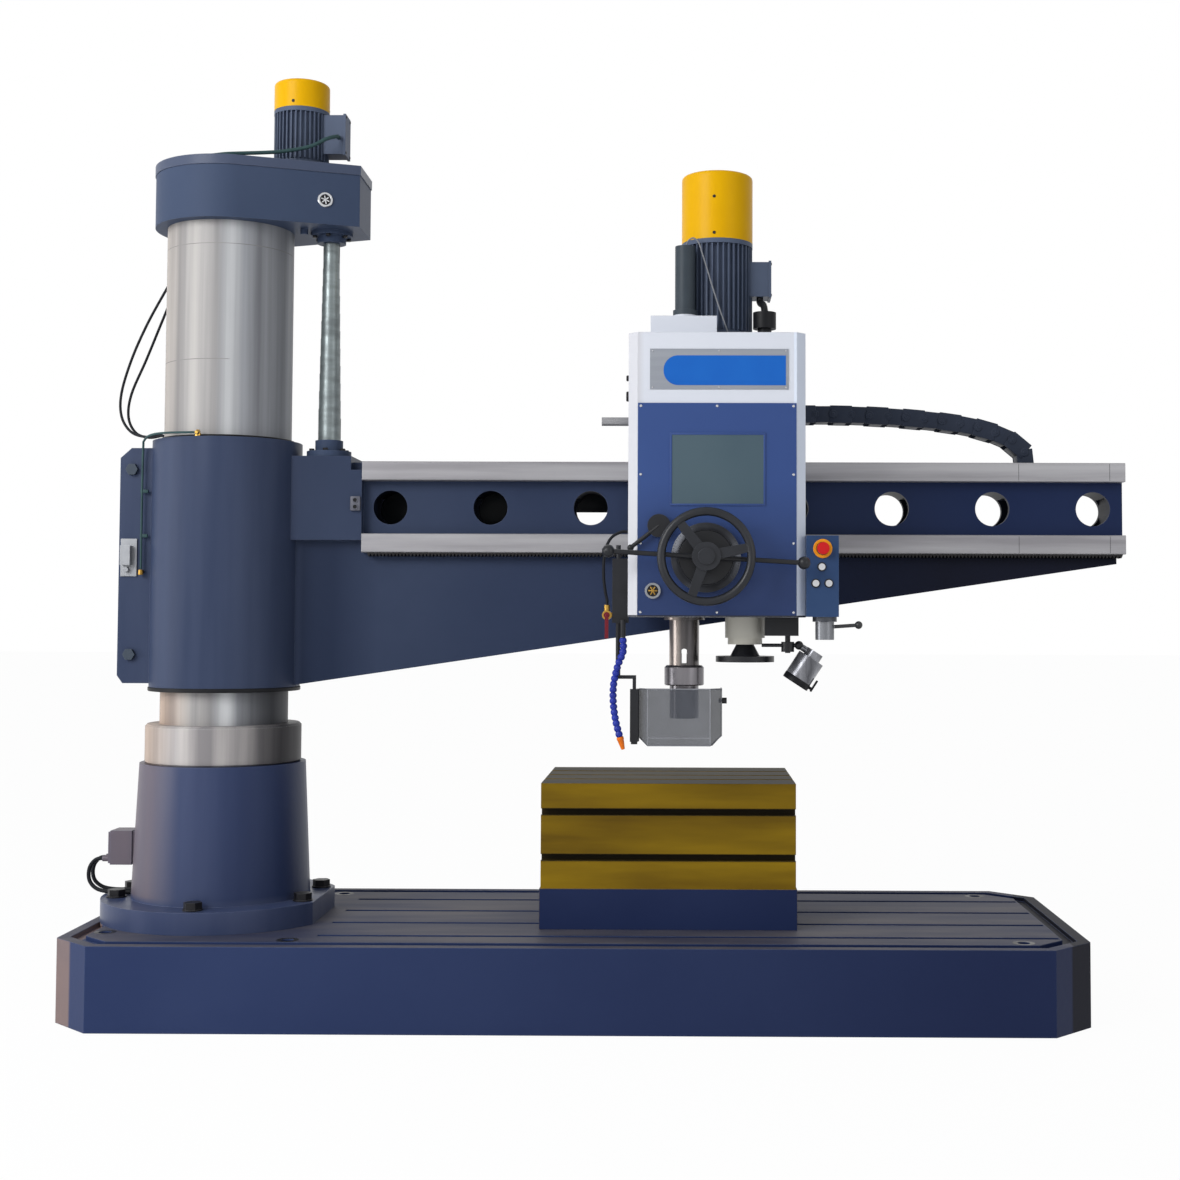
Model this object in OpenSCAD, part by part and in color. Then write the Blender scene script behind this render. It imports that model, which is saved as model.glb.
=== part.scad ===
// Radial arm drill: base with a box table, turning column, lifting arm and a sliding drill head.
// Origin on the floor under the column's axis, X along the arm, -Y towards the operator, Z up, millimetres.

/* [Base] */
// Length of the base
base_l = 3440; // [3200:10:3800]
// Width of the base
base_w = 1200; // [1150:10:1400]
// Height of the base
base_h = 280; // [240:5:340]
// Length of the base behind the column's axis
base_back = 425; // [420:5:520]
// Cut of the base's corners
base_cut = 145; // [60:5:180]
// Thickness of the base's top deck
base_deck = 75; // [65:1:90]
// Width of the coolant gutter
gutter_w = 45; // [30:1:60]
// Depth of the coolant gutter
gutter_d = 16; // [8:1:25]
// Distance between the base's T-slots
base_slot_pitch = 246; // [220:1:260]
// Throat width of the base's T-slots
base_slot_w = 28; // [22:1:36]
// Diameter of the foundation bolt holes
anchor_d = 42; // [30:1:60]

/* [Box table] */
// Length of the box table
table_l = 880; // [800:10:1000]
// Depth of the box table
table_w = 640; // [560:10:700]
// Height of the box table
table_h = 500; // [420:10:510]
// Distance of the box table from the column's axis
table_x = 1171; // [900:1:1300]
// Throat width of the box table's T-slots
table_slot_w = 22; // [18:1:28]
// Wall of the box table
table_wall = 60; // [50:1:80]

/* [Column] */
// Diameter of the turning column
column_d = 450; // [430:2:470]
// Wall of the turning column
column_wall = 28; // [20:1:36]
// Height of the column foot above the base
foot_h = 550; // [500:5:560]
// Height of the steel clamp ring
ring_h = 139; // [100:1:160]
// Height of the cap's underside above the floor
cap_z = 2756; // [2730:2:2900]
// Height of the cap with its lid
cap_h = 222; // [200:2:260]
// Distance of the lift screw from the column's axis
screw_x = 368; // [362:1:376]
// Diameter of the lift screw
screw_d = 44; // [40:1:46]

/* [Arm] */
// Height of the sleeve's lower end above the floor
arm_z = 1100; // [1090:1:1120]
// Height of the sleeve
sleeve_h = 882; // [870:1:890]
// Wall of the sleeve
sleeve_wall = 40; // [34:1:46]
// Distance of the arm's free end from the column's axis
arm_end = 3240; // [3200:5:3400]
// Thickness of the arm from front to back
arm_t = 175; // [165:1:200]
// Wall of the arm
arm_wall = 25; // [18:1:32]
// Height of a guide way
way_h = 68; // [60:1:72]
// Distance the guide ways stand out of the arm
way_t = 50; // [46:1:60]
// Diameter of the round openings in the arm
arm_hole_d = 123; // [80:1:140]

/* [Drill head] */
// Distance of the spindle from the column's axis
spindle_x = 1664; // [1600:1:1700]
// Width of the head
head_w = 587; // [580:1:620]
// Height of the head
head_h = 942; // [930:1:1000]
// Depth of the head's casing
head_t = 450; // [440:1:480]
// Wall of the head's casing
head_wall = 18; // [14:1:24]
// Diameter of the quill
quill_d = 140; // [136:1:146]
// Diameter of the spindle nose
nose_d = 102; // [96:1:110]
// Diameter of the tool socket
socket_d = 50; // [40:1:60]
// Diameter of the traverse handwheel
wheel_d = 318; // [280:2:340]
// Reach of a feed lever
lever_reach = 318; // [280:1:320]

/* [Motors] */
// Diameter of the main motor
motor_d = 250; // [230:2:252]
// Height of the main motor without its fan cover
motor_h = 373; // [340:1:420]
// Diameter of the lift motor
lift_motor_d = 200; // [180:2:210]
// Height of the lift motor without its fan cover
lift_motor_h = 224; // [200:1:260]

/* [Hidden] */
$fn = 64;
navy = "#2f3b56";
black = "#1d2024";
steel = "#b9b9b6";
white = "#e8eaee";
brass = "#b8934a";
yellow = "#f0b800";
panel_blue = "#2f4488";
gap = 0.3;          // running gap between flat faces of two bodies
fit = 0.05;         // radial clearance of a shaft in its hole
eps = 1;            // overlap of a cutting body past a face

// Base and table
deck_z = base_h;
slot_y0 = -25;      // middle of the T-slot pattern
base_slots = [for (i = [-1.5 : 1 : 1.5]) slot_y0 + i * base_slot_pitch];
slot_end = 90;      // distance of the T-slots from the base's right end
rim_w = 40;         // rim outside the gutter
bed_rib = 30;       // ribs under the deck
bed_cells = [9, 3]; // hollow cells under the deck, along X and Y
base_wall = 45;
anchor_in = 125;    // distance of the outer anchors from the base's edges
anchor_far = [base_l - base_back - 225, base_w / 2 - anchor_in];
anchor_mid = [350, base_w / 2 - anchor_in];
anchor_near = [anchor_in - base_back, base_w / 2 - 2 * anchor_in];
table_y = -264;
table_top = deck_z + table_h;
skirt_h = 139;
skirt_out = 4;
top_slot_pitch = 160;
front_slots = [98, 254];

// Column and cap
col_r = column_d / 2;
foot_z = deck_z + foot_h;
flange_r = col_r + 190;
flange_h = 76;
flange_flat = flange_r - 45;
foot_r0 = col_r + 91;
foot_r1 = col_r + 66;
foot_bolt_r = flange_r - 54;
foot_bolt_a = [-165, -90, -25, 25, 90, 165];
foot_bolt_d = 36;
pillar_r = col_r - column_wall - 17;
pillar_wall = 30;
pillar_top = cap_z - 56;
ring_z = foot_z + gap;
ring_r = col_r + 49;
bearing_h = 60;
cap_r = col_r + 43;
cap_end = screw_x + 122;
cap_half = 107;
cap_wall = 12;
cap_floor = 20;
lid_h = 34;
lid_z = cap_z + cap_h - lid_h;
cap_top = cap_z + cap_h;
screw_flange_r = 52;
screw_flange_h = 40;

// Lift drive: a pinion on the motor's shaft turns the gear on the lift screw
gear_m = 5;
pinion_n = 14;
gear_n = 32;
pressure = 25;
backlash = 0.8;
lift_motor_x = screw_x - gear_m * (pinion_n + gear_n) / 2;
gear_h = 40;
gear_z = cap_z + 90;
lift_fan_h = 103;
cover_sheet = 4;

// Arm
sleeve_r = col_r + sleeve_wall;
sleeve_top = arm_z + sleeve_h;
web_y = -45;
arm_back = web_y + arm_t;
way_y = web_y - way_t;
low_way_z = arm_z + 483;
high_way_z = low_way_z + 259;
arm_top = high_way_z + way_h;
way_x = screw_x + 139;
rib_z = arm_z + 1;
rib_rise = 452;
hole_z = low_way_z + 164;
hole_x0 = way_x + 95;
hole_pitch = (arm_end - 105 - hole_x0) / 7;
trough_z = arm_top - 96;
trough_wall = 22;
lug_x = -sleeve_r - 105;
lug_half = 70;
lug_split = 8;
lug_bolt_z = [arm_z + 115, arm_z + 780];
pad_h = 20;
nut_z = arm_top + pad_h;
nut_flange_r = 80;
nut_collar_r = 50;
nut_flange_h = 22;
nut_collar_h = 40;
nut_body_r = 45;
nut_body_h = 80;
screw_low = nut_z - nut_body_h;

// Spiral cover of the lift screw
cover_z0 = nut_z + nut_flange_h + nut_collar_h + gap;
cover_z1 = cap_z - screw_flange_h - gap;
cover_r = 41;
cover_top_r = 29;
cover_t = 0.5;
cover_band = 80;
cover_turns = 10;
cover_steps = 24;

// Head
head_x = spindle_x - 187;
head_end = head_x + head_w;
head_z = low_way_z - 229;
head_top = head_z + head_h;
saddle_t = 35;
saddle_y = way_y - gap;
case_back = saddle_y - saddle_t;
case_front = case_back - head_t;
case_cut = 30;
saddle_plate_x = head_end - 4;
rear_side = 18;     // room beside the motor on the casing's rear bracket
sp_y = case_front + 250;
sp = [spindle_x, sp_y];
panel_t = 4;
panel_y = case_front - panel_t;
panel_in = 32;
panel_top = head_z + 706;
screen_x = [145, 446];
screen_z = [373, 600];
plate_side = [71, 58];
plate_z = [751, 886];

// Feed and traverse shafts share one axis
hub_x = spindle_x + 70;
hub_z = low_way_z - 34;
drive_m = 4;
drive_n = 12;
drive_r = drive_m * drive_n / 2;
tooth_tip = 0.95;
tooth_root = 1.25;
feed_shaft_r = 18;
cross_shaft_r = 11;
rack_back = low_way_z;
rack_pitch_z = hub_z + drive_r;
cross_pinion_y = [way_y + 4, web_y - 7];
feed_pinion_y = [sp_y - 20, sp_y + 20];
lever_y = panel_y - 68;
wheel_y = panel_y - 121;
dial_r = 114;
dial_t = 34;
spoke_a = [128, 12, 250];
lever_tilt = 3.3;
knob_r = 21;

// Quill and spindle
quill_r = quill_d / 2;
nose_r = nose_d / 2;
quill_z = head_z - 9;
quill_h = 560;
spindle_r = 40;
spline_r = 27;
nose_z = head_z - 164;
collar_h = 68;
collar_r = 67.5;
adapter_r = 49.5;
adapter_h = 112;
adapter_z = nose_z - collar_h - adapter_h;
socket_depth = 90;
shank_r = 24;
tube_r = 35;
tube_z = head_top + 98;
tube_h = 241;
quill_boss_r = quill_r + 26;

// Main motor, feed unit and the pieces around the head
motor_x = spindle_x + 113;
motor_y = sp_y + 125;
motor_fan_h = 239;
feed_x = spindle_x + 208;
feed_unit_h = 92;
feed_unit_r = 68;
micro_r = 100;
micro_z = head_z - 152;
pend_w = 106;
pend_h = 267;
pend_y = case_front - 10;
pend_t = 90;
pend_x = head_end;
pend_z = head_z + 2;
estop = [pend_x + 53, pend_z + 224];
buttons = [[pend_x + 50, pend_z + 164], [pend_x + 30, pend_z + 110], [pend_x + 73, pend_z + 110]];
button_r = 11;
stick = [pend_x + 63, pend_y + 45];
guard_axis = [spindle_x - 167, sp_y - 120];
guard_z0 = adapter_z - 85;
guard_z1 = guard_z0 + 188;
guard_w = 295;
post_r = 6;
rod_x = head_x - 35;
lamp_axis = [head_end - 50, sp_y - 70];
lamp_z = head_z - 100;
lamp_ball = [lamp_axis[0] + 38, lamp_axis[1], lamp_z + 6];
lamp_ball_r = 15;
lamp_lean = 33;
select = [head_x + 103, hub_z + 104];
valve = [rod_x - 38, head_z + 6];
valve_y = guard_axis[1] - 16;

// Energy chain: links that run along the trough, turn over and reach the head
link_l = 66;
link_h = 90;
link_w = 90;
link_wall = 11;
link_step = 4;      // a narrow link stands back by this on every side
link_lap = 5;       // reach of a link into its neighbours
chain_y = web_y + trough_wall + 12;
chain_low_n = 16;
chain_turn = [48, 96, 140, 157, 164, 169, 172, 174, 175, 176, 177, 178, 179, 180, 180];
chain_end_x = saddle_plate_x + 2 * gap + link_lap;

// Hand-chosen routes of the cords and pipes
hose_route = [[-205, -148, 0], [-204, -148, -45], [-222, -150, -95], [-235, -152, -155], [-236, -152, -215],
    [-228, -150, -275], [-214, -146, -330]];
pipe_route = [[-40, -268, 1994], [-150, -248, 1994], [-225, -190, 1992], [-270, -120, 1980], [-282, -92, 1955],
    [-284, -90, 1800], [-284, -90, 1520]];
cable_route = [[-200, 150, 2755.4], [-200, 150, 2748], [-200, 150, 2738], [-245, 170, 2660], [-300, 180, 2570],
    [-365, 185, 2450], [-420, 185, 2320], [-455, 180, 2190], [-448, 165, 2100], [-405, 145, 2040],
    [-340, 112, 2018], [-280, 85, 2022], [-240, 69, 2008], [-236, 68, 1997], [-236, 68, 1982.6]];
supply_route = [[-0.4, -110, 286], [-27, -110, 286], [-62, -112, 264], [-81, -116, 216], [-85, -119, 146],
    [-79, -120, 86], [-73, -120, 58], [-73, -120, 40.4]];
conduit_route = [[0, 0, 110], [0, 0, 124], [-3, 22, 147], [-10, 60, 158],
    [-13, 75, 167], [-13, 75, 174], [-13, 75, 181.5]];
foot_cable_route = [[-424.3, -20, 482], [-448, -20, 478], [-468, -21, 456], [-474, -22, 425], [-466, -24, 396],
    [-440, -28, 374], [-400, -31, 365], [-350, -33, 363.5], [-311.6, -34, 363.5]];

// Extrusion of an X-Z outline from y0 to y1
module along_y(y0, y1) {
    translate([0, y1, 0])
        rotate([90, 0, 0])
            linear_extrude(y1 - y0)
                children();
}

// Extrusion of a Y-Z outline from x0 to x1
module along_x(x0, x1) {
    translate([x0, 0, 0])
        rotate([90, 0, 90])
            linear_extrude(x1 - x0)
                children();
}

// Cylinder along Y, centred on [x, z]
module rod_y(p, y0, y1, r) {
    translate([p[0], y1, p[1]])
        rotate([90, 0, 0])
            cylinder(r = r, h = y1 - y0);
}

// Cylinder along Z, centred on [x, y]
module rod_z(p, z0, z1, r) {
    translate([p[0], p[1], z0])
        cylinder(r = r, h = z1 - z0);
}

// Box between two corners
module block(a, b) {
    translate(a)
        cube(b - a);
}

// T-slot outline that opens upwards at the origin
module t_slot(throat) {
    head = throat * 1.8;
    depth = throat * 1.7;
    translate([-throat / 2, -depth])
        square([throat, depth + eps]);
    translate([-head / 2, -depth])
        square([head, throat * 0.72]);
}

// Motor's barrel with a ring of fins and the end shield that carries the fan cover
module finned_barrel(r, h, fins) {
    root = r * 0.87;
    shield = 16;
    cylinder(r = root, h = h);
    translate([0, 0, h - shield])
        cylinder(r = r, h = shield);
    for (i = [0 : fins - 1])
        rotate([0, 0, 360 * i / fins])
            translate([root - 3, -2.2, h * 0.09])
                cube([r - root + 2, 4.4, h * 0.86]);
}

// Terminal box on a motor's right side, with its cover
module terminal_box(r, out, half, z) {
    lip = 4;
    block([r * 0.8, -half, z[0]], [r + out, half, z[1]]);
    block([r + out - eps, -half - lip, z[0] - lip], [r + out + 8, half + lip, z[1] + lip]);
}

// Involute gear: the tooth's half angle at a radius, and the outline
function involute(a) = tan(a) * 180 / PI - a;
function tooth_half(m, n, rho) = 90 / n - backlash / (m * n) * 90 / PI + involute(pressure)
    - involute(acos(min(1, m * n / 2 * cos(pressure) / rho)));
function tooth_radii(m, n) = [m * n / 2 - tooth_root * m, max(m * n / 2 * cos(pressure), m * n / 2 - 0.8 * m),
    m * n / 2, m * n / 2 + 0.5 * m, m * n / 2 + tooth_tip * m];
function gear_outline(m, n) = [for (i = [0 : n - 1], side = [-1, 1], k = [0 : 4])
    let (rho = tooth_radii(m, n)[side < 0 ? k : 4 - k], a = 360 * i / n + side * tooth_half(m, n, rho))
    [rho * cos(a), rho * sin(a)]];

// Rack outline: pitch line on Y = 0, teeth towards +Y, the first gap's middle at X = 0
function rack_outline(m, n, back) = concat([[0, -back]], [for (i = [0 : n - 1], k = [0 : 3])
    let (p = PI * m, c = (i + 0.5) * p, root = p / 4 + tooth_root * m * tan(pressure) - backlash / 4,
        tip = p / 4 - tooth_tip * m * tan(pressure) - backlash / 4)
    [c + [-root, -tip, tip, root][k], (k == 1 || k == 2) ? tooth_tip * m : -tooth_root * m]],
    [[n * PI * m, -back]]);

// Tube swept along points: a parallel frame is carried from ring to ring
function unit(v) = v / norm(v);
function turn_to(v, t) = unit(v - t * (v * t));
function route_dir(p, i) = unit(p[min(i + 1, len(p) - 1)] - p[max(i - 1, 0)]);
function side_dirs(p, i = 0, last = [0, 1, 0.2]) = i == len(p) ? []
    : let (s = turn_to(last, route_dir(p, i))) concat([s], side_dirs(p, i + 1, s));
function bez(a, b, c, d, t) = pow(1 - t, 3) * a + 3 * pow(1 - t, 2) * t * b
    + 3 * (1 - t) * t * t * c + pow(t, 3) * d;
function smooth_route(p, n) = concat([for (i = [0 : len(p) - 2], k = [0 : n - 1])
    let (a = p[i], d = p[i + 1], ta = (p[i + 1] - p[max(i - 1, 0)]) / 6,
        td = (p[min(i + 2, len(p) - 1)] - p[i]) / 6) bez(a, a + ta, d - td, d, k / n)], [p[len(p) - 1]]);
module tube(p, radii, sides) {
    s = side_dirs(p);
    n = len(p);
    rings = [for (i = [0 : n - 1], k = [0 : sides - 1])
        let (t = route_dir(p, i), u = s[i], v = cross(t, u), a = 360 * k / sides)
        p[i] + radii[i] * (u * cos(a) + v * sin(a))];
    walls = [for (i = [0 : n - 2], k = [0 : sides - 1], h = [0, 1])
        let (a = i * sides + k, b = i * sides + (k + 1) % sides)
        h == 0 ? [a, b, b + sides] : [a, b + sides, a + sides]];
    ends = [[for (k = [0 : sides - 1]) sides - 1 - k], [for (k = [0 : sides - 1]) (n - 1) * sides + k]];
    polyhedron([for (q = rings) q], [for (f = concat(walls, ends)) [for (j = [len(f) - 1 : -1 : 0]) f[j]]]);
}

// Outline of the base with its corners cut, drawn in by an inset
module base_outline(inset = 0) {
    x0 = -base_back + inset;
    x1 = base_l - base_back - inset;
    y = base_w / 2 - inset;
    c = max(1, base_cut - inset * 0.59);
    polygon([[x0 + c, -y], [x1 - c, -y], [x1, c - y], [x1, y - c],
        [x1 - c, y], [x0 + c, y], [x0, y - c], [x0, c - y]]);
}

module anchor_holes(r) {
    for (p = [anchor_far, anchor_mid, anchor_near], s = [-1, 1])
        rod_z([p[0], s * p[1]], -eps, deck_z + eps, r);
}

module base_plate() {
    cell_x = (base_l - 2 * base_wall - (bed_cells[0] - 1) * bed_rib) / bed_cells[0];
    cell_y = (base_w - 2 * base_wall - (bed_cells[1] - 1) * bed_rib) / bed_cells[1];
    color(navy)
        difference() {
            linear_extrude(base_h)
                base_outline();
            difference() {
                for (i = [0 : bed_cells[0] - 1], j = [0 : bed_cells[1] - 1])
                    translate([base_wall - base_back + i * (cell_x + bed_rib),
                        base_wall - base_w / 2 + j * (cell_y + bed_rib), -eps])
                        cube([cell_x, cell_y, base_h - base_deck + eps]);
                for (x = [-1, 1], y = [-1, 1])
                    translate([x < 0 ? -base_back : base_l - base_back, y * base_w / 2, -2 * eps])
                        rotate([0, 0, 45])
                            cube([sqrt(2) * base_cut + 2 * base_wall, 3 * base_cut, 2 * base_h], center = true);
                anchor_holes(anchor_d);
                rod_z([0, 0], -2 * eps, base_h, foot_bolt_r + 40);
            }
            translate([0, 0, deck_z - gutter_d])
                linear_extrude(gutter_d + eps)
                    difference() {
                        base_outline(rim_w);
                        base_outline(rim_w + gutter_w);
                        circle(flange_r);
                    }
            for (y = base_slots)
                along_x(flange_r + 15, base_l - base_back - slot_end)
                    translate([y, deck_z])
                        t_slot(base_slot_w);
            anchor_holes(anchor_d / 2);
            for (a = foot_bolt_a)
                rod_z(foot_bolt_r * [cos(a), sin(a)], deck_z - 70, deck_z + eps, foot_bolt_d / 2 + fit);
        }
}

module column_foot() {
    color(navy)
        difference() {
            union() {
                translate([0, 0, deck_z])
                    cylinder(r = flange_r, h = flange_h);
                translate([0, 0, deck_z])
                    cylinder(r1 = foot_r0, r2 = foot_r1, h = foot_h);
                block([-foot_r0 + 4, -42, deck_z + 185], [-200, 42, deck_z + 302]);
            }
            block([flange_flat, -flange_r, deck_z - eps], [flange_r + eps, flange_r, deck_z + flange_h + eps]);
            rod_z([0, 0], deck_z - eps, foot_z + eps, pillar_r + fit);
            for (a = foot_bolt_a)
                rod_z(foot_bolt_r * [cos(a), sin(a)], deck_z - eps, deck_z + flange_h + eps,
                    foot_bolt_d / 2 + 1.5);
        }
}

module foot_bolts() {
    head_h = 24;
    color(black)
        for (a = foot_bolt_a)
            translate(foot_bolt_r * [cos(a), sin(a), 0]) {
                translate([0, 0, deck_z - 65])
                    cylinder(d = foot_bolt_d, h = flange_h + 65 + 4);
                translate([0, 0, deck_z + flange_h])
                    cylinder(d = foot_bolt_d * 1.9, h = 5);
                translate([0, 0, deck_z + flange_h + 4])
                    cylinder(r = foot_bolt_d * 0.88, h = head_h, $fn = 6);
            }
}

module inner_column() {
    color(steel)
        difference() {
            rod_z([0, 0], deck_z, pillar_top, pillar_r);
            rod_z([0, 0], deck_z - eps, pillar_top + eps, pillar_r - pillar_wall);
        }
}

module junction_box() {
    x1 = -foot_r0 + 4;
    z0 = deck_z + 183;
    color(navy) {
        block([x1 - 78, -48, z0], [x1, 48, z0 + 121]);
        block([x1 - 86, -44, z0 + 5], [x1 - 77, 44, z0 + 116]);
    }
    color(black)
        for (y = [-20, 20])
            translate([x1 - 112, y, z0 + 19])
                rotate([0, 90, 0])
                    cylinder(r = 11, h = 28);
}

// Two cables go from the glands over the flange to the foot, one on each side
module foot_cables() {
    color(black)
        for (s = [-1, 1])
            tube(smooth_route([for (p = foot_cable_route) [p[0], -s * p[1], p[2]]], 2),
                [for (i = [0 : 2 * (len(foot_cable_route) - 1)]) 7], 8);
}

module box_table() {
    a = [table_x, table_y, deck_z];
    b = a + [table_l, table_w, table_h];
    core = table_wall;
    color("#8a6b2f")
        difference() {
            union() {
                block(a, b);
                block(a - [skirt_out, skirt_out, 0], [b[0] + skirt_out, b[1] + skirt_out, deck_z + skirt_h]);
            }
            block(a + [core, core, -eps], b - [core, core, table_wall + 20]);
            for (i = [-1, 0, 1])
                along_x(a[0] - eps, b[0] + eps)
                    translate([table_y + table_w / 2 + i * top_slot_pitch, table_top])
                        t_slot(table_slot_w);
            for (s = front_slots)
                along_x(a[0] - eps, b[0] + eps)
                    translate([a[1], table_top - s])
                        rotate(90)
                            t_slot(table_slot_w);
        }
}

module column_tube() {
    color(steel)
        difference() {
            rod_z([0, 0], ring_z, cap_z + cap_floor, col_r);
            rod_z([0, 0], ring_z - eps, cap_z + cap_floor + eps, col_r - column_wall);
        }
}

module clamp_ring() {
    color(steel)
        translate([0, 0, ring_z])
            rotate_extrude()
                polygon([[col_r + fit, 0], [ring_r - 6, 0], [ring_r, 6], [ring_r, ring_h - 8],
                    [ring_r - 8, ring_h], [col_r + fit, ring_h]]);
}

module column_bearings() {
    color("#8f9398")
        for (z = [ring_z + 20, pillar_top - bearing_h - 20])
            difference() {
                rod_z([0, 0], z, z + bearing_h, col_r - column_wall - fit);
                rod_z([0, 0], z - eps, z + bearing_h + eps, pillar_r + fit);
            }
}

// Teardrop outline of the cap: a round end about the column that runs out to a flat end past the screw
module cap_outline(inset = 0) {
    r = cap_r - inset;
    e = cap_end - inset;
    h = cap_half - inset;
    a = atan2(h, e) + acos(r / norm([e, h]));
    circle(r, $fn = 96);
    polygon([[e, -h], [e, h], r * [cos(a), sin(a)], r * [cos(a), -sin(a)]]);
}

module cap_housing() {
    color(navy)
        difference() {
            union() {
                translate([0, 0, cap_z])
                    linear_extrude(lid_z - cap_z)
                        cap_outline();
                rod_z([screw_x, 0], cap_z - screw_flange_h, cap_z + eps, screw_flange_r);
                rod_z([screw_x, 0], cap_z - 14, cap_z + eps, screw_flange_r + 24);
                rod_z([screw_x - 88, -60], cap_z - 18, cap_z + eps, 14);
            }
            translate([0, 0, cap_z + cap_floor])
                linear_extrude(cap_h)
                    cap_outline(cap_wall);
            rod_z([0, 0], cap_z - eps, cap_z + cap_floor + eps, col_r + fit);
            rod_z([screw_x, 0], cap_z - screw_flange_h - eps, cap_z + cap_floor + eps, screw_d / 2 + fit);
        }
}

module cap_lid() {
    color(navy)
        difference() {
            union() {
                translate([0, 0, lid_z])
                    linear_extrude(lid_h)
                        cap_outline(-3);
                rod_z([-20, -120], cap_top - eps, cap_top + 8, 55);
                block([-200, -16, cap_top - eps], [-172, 16, cap_top + 30]);
            }
            rod_z([lift_motor_x, 0], lid_z - eps, cap_top + eps, 30);
        }
}

// Fan cover of a motor: a sheet barrel with a rounded top, over a boss of the motor
module fan_cover(r, h) {
    difference() {
        fan_barrel(r, h);
        translate([0, 0, -eps])
            fan_barrel(r - cover_sheet, h - cover_sheet + eps);
    }
}

module fan_barrel(r, h) {
    bend = 12;
    rotate_extrude()
        polygon(concat([[0, 0], [r, 0]],
            [for (i = [0 : 6]) [r - bend + bend * cos(i * 15), h - bend + bend * sin(i * 15)]], [[0, h]]));
}

module lift_motor() {
    r = lift_motor_d / 2;
    color(black)
        translate([lift_motor_x, 0, cap_top]) {
            difference() {
                union() {
                    cylinder(r = r, h = 18);
                    translate([0, 0, 17])
                        finned_barrel(r, lift_motor_h - 17, 36);
                    terminal_box(r, 62, 42, [62, 206]);
                }
                translate([0, 0, -eps])
                    cylinder(r = 16 + fit, h = 60 + eps);
            }
        }
}

module lift_fan_cover() {
    color(yellow)
        translate([lift_motor_x, 0, cap_top + lift_motor_h])
            fan_cover(lift_motor_d / 2, lift_fan_h);
}

// Two cables hang in a loop from the cap to the sleeve
module column_cables() {
    drawn_top = 2756;
    drawn_low = 1982;
    bulge = 50;
    steps = 3;
    color(black)
        for (s = [0, 1])
            tube(smooth_route([for (p = cable_route)
                let (w = (p[2] - drawn_low) / (drawn_top - drawn_low))
                [p[0] + s * (4 + bulge * max(0, 0.94 - abs(2 * w - 1))), p[1] + s * 30,
                    p[2] + (cap_z - drawn_top) * w + (sleeve_top - drawn_low) * (1 - w)]], steps),
                [for (i = [0 : steps * (len(cable_route) - 1)]) 5], 8);
}

module lift_screw() {
    color(steel) {
        rod_z([screw_x, 0], screw_low, lid_z - 10, screw_d / 2);
        translate([screw_x, 0, gear_z])
            rotate(180 + 180 / gear_n)
                linear_extrude(gear_h)
                    polygon(gear_outline(gear_m, gear_n));
    }
}

module lift_pinion() {
    color(steel) {
        translate([lift_motor_x, 0, gear_z - 4])
            linear_extrude(gear_h + 8)
                polygon(gear_outline(gear_m, pinion_n));
        rod_z([lift_motor_x, 0], gear_z - 10, cap_top + 55, 16);
    }
}

// Underside of the arm: a straight line that rises to the free end
function rib_at(x) = rib_z + rib_rise * (x - col_r) / (arm_end - col_r);
rib_end = arm_end - 22;

module arm_casting() {
    x_in = screw_x + 112;
    x_out = rib_end - arm_wall;
    hollow_top = trough_z - arm_wall;
    color(navy)
        difference() {
            union() {
                rod_z([0, 0], arm_z, sleeve_top, sleeve_r);
                along_y(web_y, arm_back)
                    polygon([[0, rib_z], [col_r, rib_z], [rib_end, rib_at(rib_end)], [rib_end, low_way_z],
                        [arm_end, low_way_z], [arm_end, arm_top], [0, arm_top]]);
                along_y(web_y - 40, web_y + eps)
                    translate([sleeve_r - 80, low_way_z + 44])
                        square([way_x - 2 - sleeve_r + 80, arm_top - 30 - low_way_z - 44]);
                block([sleeve_r - 60, web_y - 40, arm_top - 31], [screw_x + 97, arm_back, nut_z]);
                along_y(-lug_half, lug_half)
                    polygon([[-col_r, arm_z + 12], [lug_x + 20, arm_z + 12], [lug_x, arm_z + 40],
                        [lug_x, sleeve_top - 60], [lug_x + 40, sleeve_top - 24], [-col_r, sleeve_top - 24]]);
            }
            rod_z([0, 0], arm_z - eps, sleeve_top + eps, col_r + fit);
            block([lug_x - eps, -lug_split / 2, arm_z - eps], [-col_r + 20, lug_split / 2, sleeve_top + eps]);
            for (z = lug_bolt_z)
                rod_y([lug_x + 45, z], -lug_half - eps, lug_half + eps, 13);
            rod_z([screw_x, 0], arm_z - eps, nut_z + eps, screw_d / 2 + 4);
            rod_z([screw_x, 0], screw_low - 2, nut_z + eps, nut_body_r + fit);
            along_y(web_y + arm_wall, arm_back - arm_wall)
                polygon([[x_in, rib_at(x_in) + arm_wall], [x_out, rib_at(x_out) + arm_wall],
                    [x_out, hollow_top], [x_in, hollow_top]]);
            block([way_x + 20, web_y + trough_wall, trough_z],
                [arm_end + eps, arm_back - trough_wall, arm_top + eps]);
            for (i = [0 : 7])
                rod_y([hole_x0 + i * hole_pitch, hole_z], web_y - eps, arm_back + eps, arm_hole_d / 2);
        }
}

module guide_ways() {
    edge = 3;
    color(steel)
        for (z = [low_way_z, high_way_z])
            along_x(way_x, arm_end)
                polygon([[web_y, z], [web_y, z + way_h], [way_y + edge, z + way_h], [way_y, z + way_h - edge],
                    [way_y, z + edge], [way_y + edge, z]]);
}

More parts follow.
